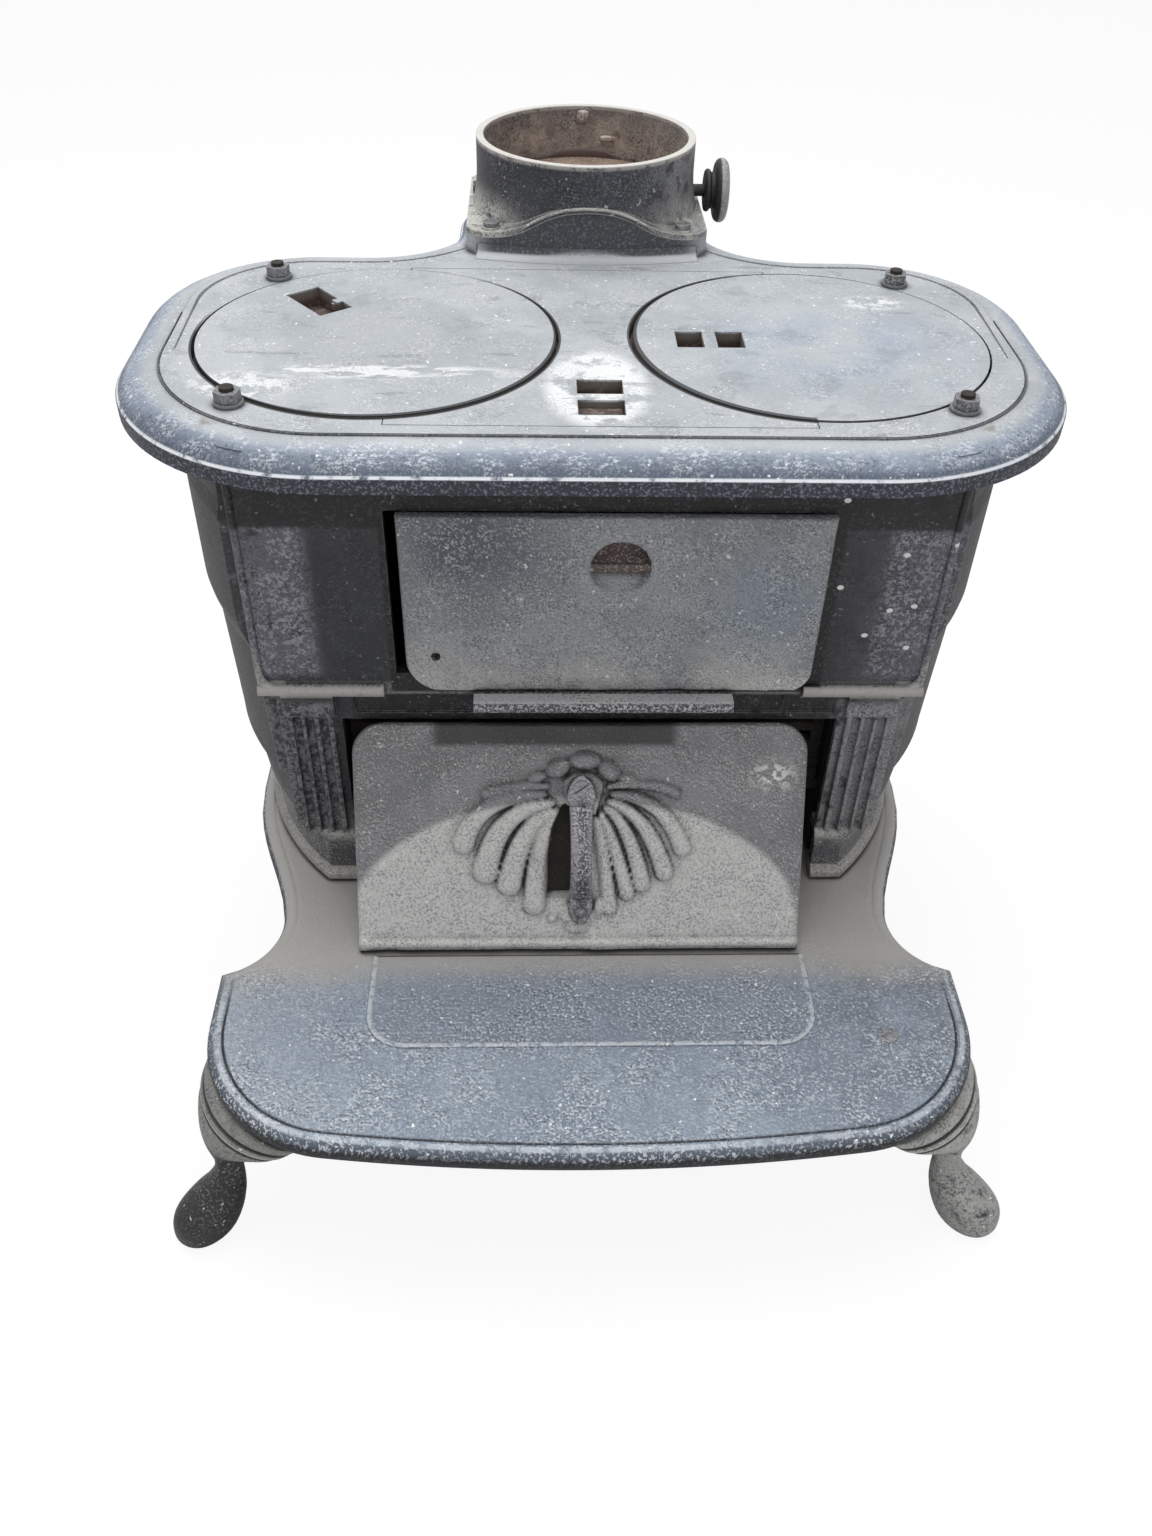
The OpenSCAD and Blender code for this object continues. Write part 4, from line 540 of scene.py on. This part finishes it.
# height, inner reach, outer reach and half width, from the hearth corner's arc
legRows = [(0, 25, 42, 9.5), (0.8, 19.5, 45.5, 12.5), (3, 14.5, 48, 14.8), (7, 9.5, 49.4, 16.4), (12, 5.8, 49.4, 17),
           (18, 2.8, 48.6, 17), (23, 1, 46.4, 16.8), (28, -0.4, 41.5, 15.8), (33, -1.5, 34, 14.6),
           (38, -2.2, 26.5, 12.2), (44, -2.7, 20, 10.4), (50, -3, 15.6, 9.1), (57, -3.8, 13.8, 8.6),
           (64, -4.4, 13.6, 8.8), (70, -5, 14.4, 10.4), (76, -6.6, 15.4, 14.2), (82, -9, 16, 20.5),
           (88, -11.6, 15.8, 28), (93, -13.4, 14.4, 35.5), (96.6, -14.4, 12.4, 41.5), (98.2, -14.8, 9.4, 43.6),
           (99.3, -15, 9.8, 45), (100.8, -15.2, 10.2, 46.4), (102.4, -15.5, 8.8, 47.6), (103.2, -15.6, 5.6, 48.2),
           (104.2, -15.7, 6.2, 49), (105.6, -15.9, 6.4, 50), (107, -16, 4.6, 50.8), (107.9, -16, 3, 51)]


def legRing(z, inner, outer, half):
    ring = []
    for a in turns(56):
        across = half * math.sin(a)
        reach = hearth["corner"] + (inner + outer) / 2 + (outer - inner) / 2 * squarer(math.cos(a), 0.9)
        ring.append((math.sqrt(max(reach ** 2 - across ** 2, 1)), across, z))
    return ring


def atCorner(sx, sy, p):
    c, s = math.cos(math.radians(legTurn)), math.sin(math.radians(legTurn))
    x, y = p[0] * c + p[1] * s, -p[0] * s + p[1] * c
    return row(sx * (x + cornerX), (-y + hearth["cornerBack"]) if sy > 0 else (y - hearth["cornerFront"]), p[2])


# Legs: blacked iron at the foot, bare above. The eye sees a dark foot with white spatter under a dusty grey knee.
legIron = castIron("dampCastIron", {
    "dark": "#2f3032", "light": "#434446", "bloom": "#8a8a8c", "pitShadeTone": "#171719", "pale": 0.5, "pitShade": 0.65,
    "metal": 0.25, "rough": 0.5, "fleckTone": "#e8e8e8", "flecks": 0.7,
    "layers": [("#b9b8b8", 0.7, ("z", 40, 12), ("x", -40, 40), ("blotch", 0.5, 0.58, 3.5)),
               ("#8d8d89", 0.85, ("z", 76, 92), ("blotch", 0.2, 0.42, 20)),
               ("#3c3c3a", 0.8, ("z", 88, 79), ("z", 72, 77), ("blotch", 0.3, 0.5, 14)),
               # painted light and shade: the right legs paler, the left legs darker below the knee
               ("#b0afad", 0.85, ("x", 60, 160), ("blotch", 0.3, 0.5, 10)),
               ("#1b1b1a", 0.75, ("x", -40, -160), ("z", 88, 72))],
    "last": [("#c4c3c0", 0.7, ("worn", 0.96, 0.85, 1.4), ("z", 92, 98)),
             ("#141416", 0.9, ("crease", 0.8, 0.4, 4), ("z", 92, 98)),
             ("#c2c1bd", 0.6, ("z", 99, 100), ("z", 102, 101)),  # ridge between the two grooves
             ("#101011", 0.93, ("z", 97.3, 97.8), ("z", 98.9, 98.4)),
             ("#101011", 0.93, ("z", 102.4, 102.8), ("z", 104.1, 103.6))]})
for sx, sy, name in ((-1, -1, "front_left_leg"), (1, -1, "front_right_leg"),
                     (-1, 1, "back_left_leg"), (1, 1, "back_right_leg")):
    rings = [[atCorner(sx, sy, p) for p in legRing(*r)] for r in smoothThrough(legRows, 3)]
    piece(name + "_cast", *loft(rings), legIron, "dark_iron", "stove", [name], sharp=60)
print("built legs")


# plates with cast relief
def softNoise(shape, cell, seed):
    rng = np.random.default_rng(seed)
    rows, cols = shape
    coarse = rng.standard_normal((rows // cell + 3, cols // cell + 3))
    y, x = np.arange(rows) / cell, np.arange(cols) / cell
    yi, xi = y.astype(int), x.astype(int)
    fy, fx = (y - yi)[:, None], (x - xi)[None, :]
    fy, fx = fy * fy * (3 - 2 * fy), fx * fx * (3 - 2 * fx)
    a, b = coarse[np.ix_(yi, xi)], coarse[np.ix_(yi, xi + 1)]
    c, d = coarse[np.ix_(yi + 1, xi)], coarse[np.ix_(yi + 1, xi + 1)]
    return (a * (1 - fx) + b * fx) * (1 - fy) + (c * (1 - fx) + d * fx) * fy


def dome(x, v, cx, cv, rx, rv, height, turn=0):
    c, s = math.cos(math.radians(turn)), math.sin(math.radians(turn))
    u, w = (x - cx) * c + (v - cv) * s, -(x - cx) * s + (v - cv) * c
    return height * np.sqrt(np.clip(1 - (u / rx) ** 2 - (w / rv) ** 2, 0, 1))


def step(value, low, high):
    t = np.clip((value - low) / (high - low), 0, 1)
    return t * t * (3 - 2 * t)


def castSkin(shape, waves):  # waves as height, grid steps across and seed
    return sum(high * softNoise(shape, cell, seed) for high, cell, seed in waves)


def rolled(border, r):  # how far a rolled edge falls away
    return r - np.sqrt(r * r - np.clip(r - border, 0, r) ** 2)


def reliefSlab(name, across, along, front, back, place, material, slot, body, replaced):
    rows, cols = across.shape  # two grids joined round their border
    verts = [place(across[r, c], along[r, c], face[r, c])
             for face in (front, back) for r in range(rows) for c in range(cols)]
    n = rows * cols
    faces = []
    for r in range(rows - 1):
        for c in range(cols - 1):
            i = r * cols + c
            faces.append((i, i + 1, i + cols + 1, i + cols))
            faces.append((n + i, n + i + cols, n + i + cols + 1, n + i + 1))
    border = list(range(cols)) + [r * cols + cols - 1 for r in range(1, rows)]
    border += [(rows - 1) * cols + c for c in range(cols - 2, -1, -1)] + [r * cols for r in range(rows - 2, 0, -1)]
    for a, b in zip(border, border[1:] + border[:1]):
        faces.append((a, n + a, n + b, b))
    piece(name, verts, faces, material, slot, body, replaced, sharp=50)


# lower plate, leaning on the front, with its shell
lower = {"wide": 289, "long": 153.5, "leanLong": 157, "corner": 20, "edge": 2, "shift": -6.5, "thick": 5,
         "foot": 198, "recess": 3, "wall": 125, "gap": 0.3,
         "axis": -5.3, "lobeRoot": 2.2, "lobeSwell": 1.14,  # the shell's middle, and its lobes' half width at the root
         "hollowFoot": 37, "hollowTop": 101, "hollowRight": 5.5, "hollowDeep": 10, "hollowBack": 8}
leanRun = lower["foot"] - lower["wall"] + lower["recess"] - lower["gap"]
lean = math.asin((leanRun - lower["thick"] / math.cos(math.asin(leanRun / lower["leanLong"]))) / lower["leanLong"])


def onSlope(x, v, n):  # across, up the plate and out of it, in mm
    v += math.tan(lean) * lower["thick"]
    return row(x + lower["shift"], -lower["foot"] + v * math.sin(lean) - n * math.cos(lean),
               hearthZ + lower["gap"] + v * math.cos(lean) + n * math.sin(lean))


# each lobe: root, middle, tip, half width at the tip and height, X about the stove's middle
lobes = [((11.6, 113), (36.6, 113.6), (54.3, 108), 3.2, 3.4), ((13.7, 108), (41.8, 98), (59.1, 71.6), 5.2, 5.2),
         ((11.6, 103.5), (32.5, 88.1), (48.1, 55), 5.4, 5.4), ((9.5, 99), (23, 81.5), (33.5, 47.4), 5.2, 5.2),
         ((6.4, 94.7), (14.8, 73.8), (24, 41), 4.8, 4.8), ((3.3, 91.4), (8.5, 65), (12.7, 30.7), 4.6, 4.6),
         ((-28, 113), (-48.8, 112.3), (-66.5, 108), 3.4, 3.4), ((-30, 108), (-65, 99), (-81.5, 75), 6.4, 5.2),
         ((-24.8, 102.4), (-53.5, 89.2), (-67.6, 56), 7.6, 5.8), ((-22.8, 97), (-41, 82), (-52.6, 47.6), 7.4, 5.8),
         ((-19.6, 94.7), (-32, 74), (-36.4, 33), 6.4, 5.4)]
cols, rows = 232, 127
u = np.linspace(-1, 1, cols)
v = np.linspace(0, lower["long"], rows)
endRise = np.clip(v - lower["long"] + lower["corner"], 0, None)
halfAt = lower["wide"] / 2 - lower["corner"] + np.sqrt(lower["corner"] ** 2 - endRise ** 2)
across = u[None, :] * halfAt[:, None]
along = np.repeat(v[:, None], cols, 1)
offMiddle = across + lower["shift"]
offAxis = offMiddle - lower["axis"]
skinLumps = castSkin(across.shape, ((0.35, 14, 3), (0.12, 4, 4), (0.06, 2, 5)))
relief = np.zeros_like(across)
farOff = np.full_like(across, 9.0)  # in half widths of a lobe
closest = farOff
for root, middle, tip, wide, high in lobes:
    root, middle, tip = np.array(root, float), np.array(middle, float), np.array(tip, float)
    bend = 2 * middle - (root + tip) / 2
    near = farOff
    for t in [k / 40 for k in range(41)]:
        p = (1 - t) ** 2 * root + 2 * t * (1 - t) * bend + t * t * tip
        w = lower["lobeRoot"] + (wide * lower["lobeSwell"] - lower["lobeRoot"]) * t ** 0.5
        near = np.minimum(near, np.hypot(offMiddle - p[0], along - p[1]) / w)
    closest = np.minimum(closest, near)
    relief = np.maximum(relief, high * np.sqrt(np.clip(1 - near ** 2, 0, 1)) ** 0.7)
relief -= 1.1 * step(1.32 - closest, 0, 0.2) * step(closest, 0.94, 1.02)  # a groove cut round every lobe
# flat shield between the lobes, round at its top and narrower toward its foot
shieldHalf = 13.5 - np.clip((112 - along) * 0.25, 0, 5)
shieldTop = np.sqrt(np.clip(16 ** 2 - offAxis ** 2, 0, None)) + 108
shield = np.minimum(step(shieldHalf - np.abs(offAxis), 0, 1.6),
                    step(along, 93, 96) * step(shieldTop - along, 0, 2.5))
relief = np.maximum(relief, 4.6 * shield)
# beads and the boss: across, along, radii, height, turn
for bead in [(-4.2, 130, 10.6, 6.2, 7, 0), (-20.9, 125, 8.6, 6.2, 6.2, 30), (11, 123.5, 8.4, 6.4, 6.2, -38),
             (-34.4, 119, 6.8, 3.8, 3.8, 14), (22.9, 118, 6.6, 3.9, 3.8, -12), (-8, 25, 12, 9, 3.4, 0),
             (-24.5, 23.5, 3.4, 3.2, 3.2, 0), (6.4, 32, 5.2, 7.4, 3.6, -20), (-8, 17, 8, 4.5, 2.6, 0)]:
    relief = np.maximum(relief, dome(offMiddle, along, *bead))
relief = np.maximum(relief, 3.0 * np.sqrt(np.clip(1 - ((along - 6) / 3.2) ** 2, 0, 1)))  # bar along the foot
# finger hollow behind the strap, its left side running down and out
leftSide = np.interp(along, [37, 41, 65, 87, 99, 102], [-23, -23.2, -22.5, -18.8, -13.3, -10])
inside = np.minimum(np.minimum(across - leftSide, lower["hollowRight"] - across),
                    np.minimum(along - lower["hollowFoot"], lower["hollowTop"] - along))
hollow = step(inside, 0, 2.2)
border = np.minimum(halfAt[:, None] - np.abs(across), np.minimum(along, lower["long"] - along))
front = relief * (1 - hollow) + skinLumps * (1 - 0.6 * step(relief, 0, 2))
front -= lower["hollowDeep"] * hollow + rolled(border, lower["edge"])
back = -lower["thick"] - lower["hollowBack"] * step(inside, -3, -1)
# Lower plate: bare iron gone grey, ashy at its foot. The eye sees a soft, warm grey with soot in every groove.
lowerIron = castIron("dustyCastIronLower", {
    "dark": "#737476", "light": "#87878a", "bloom": "#c1c1c0", "pitShadeTone": "#3f4042", "pale": 0.55, "pitShade": 0.55,
    "gather": (0.4, 0.58, 0.5), "cluster": 18, "fleckTone": "#e6e6e4", "rough": 0.62, "grain": 1.4,
    "layers": [("#d3d2d0", 0.9, ("spot", 1.0, 0.95, (-10, -188, 145), (150, 88, 88)), ("blotch", 0.15, 0.4, 26)),
               ("#cfcecc", 0.6, ("z", 170, 140), ("blotch", 0.3, 0.56, 20)),
               ("#4c3b33", 0.95, ("spot", 1.0, 0.8, (-14, -150, 186), (24, 24, 34)), ("y", -174, -162))],
    "last": [("#e3e2e0", 0.9, ("spot", 1.0, 0.1, (116, -150, 235), (21, 60, 14)),
              ("blotch", 0.47, 0.53, 5)),  # dab of limewash
             ("#d9d8d6", 0.6, ("z", 136, 128), ("blotch", 0.52, 0.57, 2.4)),
             ("#3a3a3b", 0.6, ("z", 134, 128), ("blotch", 0.55, 0.6, 2)),
             ("#1f1f20", 0.8, ("x", -104, -95), ("x", 58, 49), ("z", 250.5, 254.5)),  # painted shadow of the rail
             ("#1f1f20", 0.93, ("crease", 0.9, 0.5, 6))]})
reliefSlab("lowerPlateCast", across, along, front, back, onSlope, lowerIron, "lift_off_iron", "lower_plate",
           ["lower_plate"])
# dark lining in the finger hollow, a painted shade of the recess
crust = [(-21.6, 39), (-21.6, 48), (-20.8, 65), (-17.2, 87), (-12.2, 97), (-8, 99), (4, 99), (4, 39)]
rings = [[onSlope(x, v, n) for x, v in crust] for n in (-10.5, -9.2)]
piece("hollowShade", *loft(rings), sootIron, "rusty_iron", "lower_plate", sharp=30)
print("built lower plate")

# strap handle, a rounded bar bowed over the finger hollow
strap = {"top": 104, "foot": 37, "high": 20, "half": 7.6, "thick": 4.6, "seat": 5,
         "head": 18, "headHalf": 9, "headThick": 3.4, "tail": 17, "tailHalf": 8, "tailThick": 3.2}
middle, halfLong = (strap["top"] + strap["foot"]) / 2, (strap["top"] - strap["foot"]) / 2
rise = strap["high"] - strap["seat"]
bow = (halfLong ** 2 + rise ** 2) / (2 * rise)
turn = math.asin(halfLong / bow)
# up the plate, out of it, half width and thickness: the round head, the bow and the round tail
path = [(strap["top"] + strap["head"] * (1 - k / 8), 8.0,
         strap["headHalf"] * math.sqrt(max(1 - ((8 - k) / 8 * 1.02) ** 2, 0.02)) + 0.3, strap["headThick"])
        for k in range(8)]
for k in range(33):
    a = turn - 2 * turn * k / 32
    lift = 2.6 * max(3 - k, 0) / 3  # up onto the head
    path.append((middle + (bow - 2.2) * math.sin(a), strap["seat"] + rise - bow + (bow - 2.2) * math.cos(a) + lift,
                 strap["half"] - 0.9 * math.sin(math.pi * k / 32), strap["thick"]))
path += [(strap["foot"] - strap["tail"] * k / 8, 4.0,
          strap["tailHalf"] * math.sqrt(max(1 - (k / 8) ** 2, 0.02)) + 0.3, strap["tailThick"]) for k in range(1, 9)]
rings = []
for k, (pv, pn, half, thick) in enumerate(path):
    a, b = path[max(k - 1, 0)], path[min(k + 1, len(path) - 1)]
    t = np.array([b[0] - a[0], b[1] - a[1]])
    t = t / (np.hypot(*t) + 1e-9)
    normal = np.array([t[1], -t[0]])
    if normal[1] < 0:
        normal = -normal
    ring = []
    for q in turns(20):
        cn = squarer(math.sin(q), 0.8) * thick / 2
        ring.append(onSlope(squarer(math.cos(q), 0.6) * half, pv + normal[0] * cn, pn + normal[1] * cn))
    rings.append(ring)
# Strap: iron rubbed by hands. The eye sees a satin grey bar, darker on one side.
strapIron = castIron("handledCastIron", {
    "dark": "#7e7d82", "light": "#95949a", "bloom": "#c6c5c6", "pitShadeTone": "#3d3c3f", "metal": 0.35, "rough": 0.5,
    "edge": 0.8, "fleckTone": "#e2e2e2", "pale": 0.8, "pitShade": 0.8, "gather": (0.4, 0.6, 0.4), "grain": 1.5,
    # painted shade down the bar's middle, lower half, in patches
    "layers": [("#38373c", 0.75, ("x", -10, -7.5), ("x", 0, -4), ("z", 232, 222), ("blotch", 0.36, 0.5, 10))],
    "last": [("#1d1d1f", 0.9, ("crease", 0.85, 0.45, 5))]})
piece("strapHandleBar", *loft(rings), strapIron, "dark_iron", "lower_plate", ["strap_handle"], sharp=60)
print("built strap handle")

# feed plate, with its round lifter pocket and its bar
feed = {"wide": 246, "high": 121.2, "shift": 10, "corner": 22, "cornerRight": 14, "edge": 1.8, "z0": 292.3,
        "face": 130.3, "thick": 5, "pocketX": 13, "pocketZ": 380.3, "pocketR": 17.5, "deep": 11.5, "cup": 15,
        "cupR": 20.5, "hole": (-95, 318.3), "holeR": 2.6, "holeDeep": 3.5, "barHalf": 18.2}
cols, rows = 214, 115
u = np.linspace(-1, 1, cols)
w = np.linspace(0, feed["high"], rows)
turnR = np.where(u < 0, feed["corner"], feed["cornerRight"])[None, :]
cornerDrop = np.clip(turnR - w[:, None], 0, None)
halfAt = feed["wide"] / 2 - turnR + np.sqrt(turnR ** 2 - cornerDrop ** 2)
across = u[None, :] * halfAt + feed["shift"]
along = np.repeat(w[:, None], cols, 1) + feed["z0"]
skinLumps = castSkin(across.shape, ((0.3, 16, 11), (0.16, 5, 12), (0.1, 2, 13)))
away = np.hypot(across - feed["pocketX"], along - feed["pocketZ"])
scoop = np.clip((along - feed["pocketZ"] + feed["pocketR"]) / (feed["pocketR"] * 0.9), 0, 1)  # slopes in below the bar
border = np.minimum(halfAt - np.abs(across - feed["shift"]),
                    np.minimum(along - feed["z0"], feed["z0"] + feed["high"] - along))
hole = step(feed["holeR"] - np.hypot(across - feed["hole"][0], along - feed["hole"][1]), 0, 0.8)
front = skinLumps - feed["deep"] * scoop * step(feed["pocketR"] - away, 0, 1.8)
front -= rolled(border, feed["edge"]) + feed["holeDeep"] * hole
back = np.where(away < feed["cupR"], -feed["cup"], -feed["thick"])


def onFeed(x, z, n):
    return row(x, -feed["face"] - n, z)


# Feed plate: bare iron gone grey, dusty below. The eye sees a flat mid grey, bluer at its upper left.
feedIron = castIron("dustyCastIronFeed", {
    "dark": "#7b7e83", "light": "#909295", "bloom": "#bcbdbe", "pitShadeTone": "#3d3e42", "pale": 0.6, "pitShade": 0.6,
    "gather": (0.4, 0.58, 0.5), "fleckTone": "#e2e2e2", "grain": 1.4,
    "layers": [("#49505c", 0.85, ("spot", 1.0, 0.2, (-74, -130, 396), (60, 30, 48))),
               ("#818b99", 0.65, ("spot", 1.0, 0.3, (100, -130, 350), (46, 30, 60))),
               ("#b7b5b3", 0.75, ("z", 345, 298), ("blotch", 0.3, 0.6, 40)),
               ("#c3c1be", 0.7, ("z", 306, 296), ("x", 40, 90), ("blotch", 0.42, 0.5, 3)),
               ("#5a433d", 0.95, ("spot", 1.0, 0.9, (13, -120, 380.3), (18.5, 12, 18.5)),
                ("y", -125, -121.5)),  # rust in the pocket
               ("#0c0c0c", 1.0, ("spot", 1.0, 0.85, (-95, -128, 318.3), (3.2, 12, 3.2)))],
    "last": [("#232324", 0.85, ("crease", 0.75, 0.4, 5))]})
reliefSlab("feedPlateCast", across, along, front, back, onFeed, feedIron, "lift_off_iron", "feed_plate",
           ["feed_plate"])
rings = [[onFeed(feed["pocketX"] + feed["barHalf"] * (k / 8 - 1), feed["pocketZ"] - 0.5 + 3 * math.sin(q),
                 -2.2 + 1.8 * math.cos(q)) for q in turns(14)] for k in range(17)]
piece("feedPlateBar", *loft(rings), knobIron, "lift_off_iron", "feed_plate", sharp=60)
print("built feed plate")

# rail under the feed plate: a web on the front, and a rounded lip, with its section in Y and Z
rail = {"left": -73, "long": 158, "lipY": -141.3, "lipZ": 289.55, "lipR": 4.1}
railSection = [(-125.1, 279.4), (-130.8, 279.4), (-130.8, 284.9), (-134, 285.5)]
railSection += arc(rail["lipY"], rail["lipZ"], rail["lipR"], -90, -270, 14)
railSection += [(-134.1, 293.4), (-133.7, 292.9), (-133.7, 291.95), (-125.1, 291.95)]
rings = [[row(rail["left"] + rail["long"] * k / 40, y, z) for y, z in railSection] for k in range(41)]
piece("feedRailCast", *loft(rings), railIron, "lift_off_iron", "stove", ["feed_rail"], sharp=40)

# dark lines along the step between the rim and the plate, a painted shadow of the step, one round the front and one
# round each back corner
frontLine = [(253, 34), (253, 6)] + arc(149, -22, 104, 0, -90, 24)
frontLine += [(-x, y) for x, y in frontLine[::-1]]
rightLine = arc(150, 213, 92, -140, -90, 10) + arc(179, 53, 68, 90, 0, 20) + [(246.8, 22), (246, -22)]
leftLine = [(-x, y) for x, y in rightLine[::-1]]
lofts = []
for path, wide, z in ((frontLine, 0.65, lidZ - 0.7), (rightLine, 1.5, lidZ - 0.5), (leftLine, 1.5, lidZ - 0.5)):
    rings = []
    for k, (x, y) in enumerate(path):
        outX, outY = offPath(path, k)
        r = wide * min(1, 0.25 + k / 4, 0.25 + (len(path) - 1 - k) / 4)  # thins out at both ends
        rings.append([row(x + outX * r * math.cos(q), y + outY * r * math.cos(q), z + 0.9 * math.sin(q))
                      for q in turns(8)])
    lofts.append(loft(rings))
piece("rimStepLine", *joined(lofts), seamIron, "plate_top_iron", "stove", sharp=80)

# ledge moulding, turning up into the bead at each corner of the front
ledge = {"y": -126, "z": 290, "r": 4.35, "turnX": 191, "turnR": 12, "beadR": 2.3, "beadLong": 144}
turnZ = ledge["z"] + ledge["turnR"]
for name, side, inner in (("ledgeLeft", -1, 128), ("ledgeRight", 1, 130)):
    path = [(inner + (ledge["turnX"] - inner) * k / 12, ledge["z"], ledge["r"]) for k in range(13)]
    path += [(x, z, ledge["r"] - 2.0 * k / 12)
             for k, (x, z) in enumerate(arc(ledge["turnX"], turnZ, ledge["turnR"], -90, 0, 12))][1:]
    path += [(ledge["turnX"] + ledge["turnR"], turnZ + ledge["beadLong"] * k / 24, ledge["beadR"])
             for k in range(1, 25)]
    rings = []
    for k, (x, z, r) in enumerate(path):
        outX, outZ = offPath(path, k)
        y = ledge["y"] + (ledge["r"] - r) / (ledge["r"] - ledge["beadR"])
        rings.append([row(side * (x + outX * r * math.cos(q)), y - r * math.sin(q), z + outZ * r * math.cos(q))
                      for q in turns(18)])
    piece(name, *loft(rings), bodyIron, "body_iron", "stove", sharp=60)

# worn edge of the saddle flange, a pale tube that also stands for its highlight, carried across the collar's front
saddle = {"r": 73.22, "top": 495, "reach": 46, "frontR": 307, "collarR": 76, "edgeR": 1.15}
rings = []
for part in [k / 20 - 1 for k in range(41)]:
    x = saddle["reach"] * part
    r = saddle["edgeR"] * min(1, 0.3 + (1 - abs(part)) * 3)
    y = min(seatY - math.sqrt(saddle["frontR"] ** 2 - x * x), collarY - math.sqrt(saddle["collarR"] ** 2 - x * x))
    z = saddle["top"] - saddle["r"] + math.sqrt(saddle["r"] ** 2 - x * x) - 1
    rings.append([row(x, y - r * math.sin(q), z + r * math.cos(q)) for q in turns(14)])
piece("saddleEdge", *loft(rings), rubbedHighlitIron, "dark_iron", "stove", sharp=80)

# flaws left in the collar's bore, a short ridge and a boss: X, Z, half width, half height and how far they stand in
boreR = 70.5
for name, cx, cz, wide, high, deep in (("boreRidge", 20, 499, 7, 1.8, 1.6), ("boreBoss", 0, 513, 4.6, 4.2, 2.2)):
    skinY = collarY + math.sqrt(boreR ** 2 - cx ** 2)
    rings = [[row(cx + wide * shrink * squarer(math.cos(q), 0.6), skinY + y,
                  cz + high * shrink * squarer(math.sin(q), 0.6)) for q in turns(24)]
             for shrink, y in ((1, 1.5), (1, -deep * 0.4), (0.9, -deep * 0.8), (0.6, -deep))]
    piece(name, *loft(rings), darkIron, "dark_iron", "stove", sharp=50)
print("built mouldings")

# floor, light and camera, in metres
floorHalf = 6
floor = bpy.data.meshes.new("studioFloor")
floor.from_pydata([(x * floorHalf, y * floorHalf, 0) for x, y in ((-1, -1), (1, -1), (1, 1), (-1, 1))], [],
                  [(0, 1, 2, 3)])
floorObj = bpy.data.objects.new("studioFloor", floor)
bpy.context.scene.collection.objects.link(floorObj)
floorPaint = bpy.data.materials.new("mattWhitePaper")
floorPaint.use_nodes = True
tree = floorPaint.node_tree
tree.nodes.clear()
paper = addNode(tree, "BsdfDiffuse", {"Color": linear("#f4f4f3")})
glow = addNode(tree, "Emission", {"Color": (1, 1, 1, 1), "Strength": 1.06})
seen = addNode(tree, "LightPath")
share = addNode(tree, "Math", {"operation": "MULTIPLY", 1: 0.85}, {0: seen.outputs["Is Camera Ray"]})
paperMix = addNode(tree, "MixShader", None,
                   {0: share.outputs[0], 1: paper.outputs[0], 2: glow.outputs[0]})
addNode(tree, "OutputMaterial", None, {"Surface": paperMix.outputs[0]})
floor.materials.append(floorPaint)

world = bpy.data.worlds.new("softStudio")
bpy.context.scene.world = world
world.use_nodes = True
tree = world.node_tree
tree.nodes.clear()
ambient = addNode(tree, "Background", {"Color": (1, 1, 1, 1), "Strength": 0.42})
white = addNode(tree, "Background", {"Color": (1, 1, 1, 1), "Strength": 1.0})
seen = addNode(tree, "LightPath")
plainRay = seen.outputs["Is Camera Ray"]  # white is what the camera and mirrors see, the rest lights softly
for ray in ("Is Transmission Ray", "Is Glossy Ray"):
    plainRay = addNode(tree, "Math", {"operation": "MAXIMUM"}, {0: plainRay, 1: seen.outputs[ray]}).outputs[0]
sky = addNode(tree, "MixShader", None, {0: plainRay, 1: ambient.outputs[0], 2: white.outputs[0]})
addNode(tree, "OutputWorld", None, {"Surface": sky.outputs[0]})


def areaLamp(name, place, aim, size, watts):
    lamp = bpy.data.lights.new(name, "AREA")
    lamp.shape = "SQUARE"
    lamp.size = size
    lamp.energy = watts
    obj = bpy.data.objects.new(name, lamp)
    bpy.context.scene.collection.objects.link(obj)
    obj.location = place
    obj.rotation_euler = (Vector(aim) - Vector(place)).to_track_quat("-Z", "Y").to_euler()


areaLamp("overheadSoftbox", (-0.25, 0.35, 2.3), (0, 0, 0.3), 1.6, 34)
areaLamp("frontFill", (0.5, -2.2, 1.6), (0, 0, 0.3), 1.4, 8)

camera = bpy.data.cameras.new("photoCamera")
camera.lens = 29.7093
camera.sensor_width = 36
camera.clip_start = 0.05
cameraObj = bpy.data.objects.new("photoCamera", camera)
bpy.context.scene.collection.objects.link(cameraObj)
eye = Vector((-0.037071, -0.712947, 0.772048))
right = Vector((0.999423, -0.025992, 0.021849))
up = Vector((0.000875, 0.66296, 0.748654))
forward = Vector((0.033944, 0.748204, -0.6626))
cameraObj.matrix_world = Matrix.Translation(eye) @ Matrix((right, up, -forward)).transposed().to_4x4()
bpy.context.scene.camera = cameraObj
bpy.context.scene.view_settings.view_transform = "Standard"
print("set floor, light and camera")

print("done")
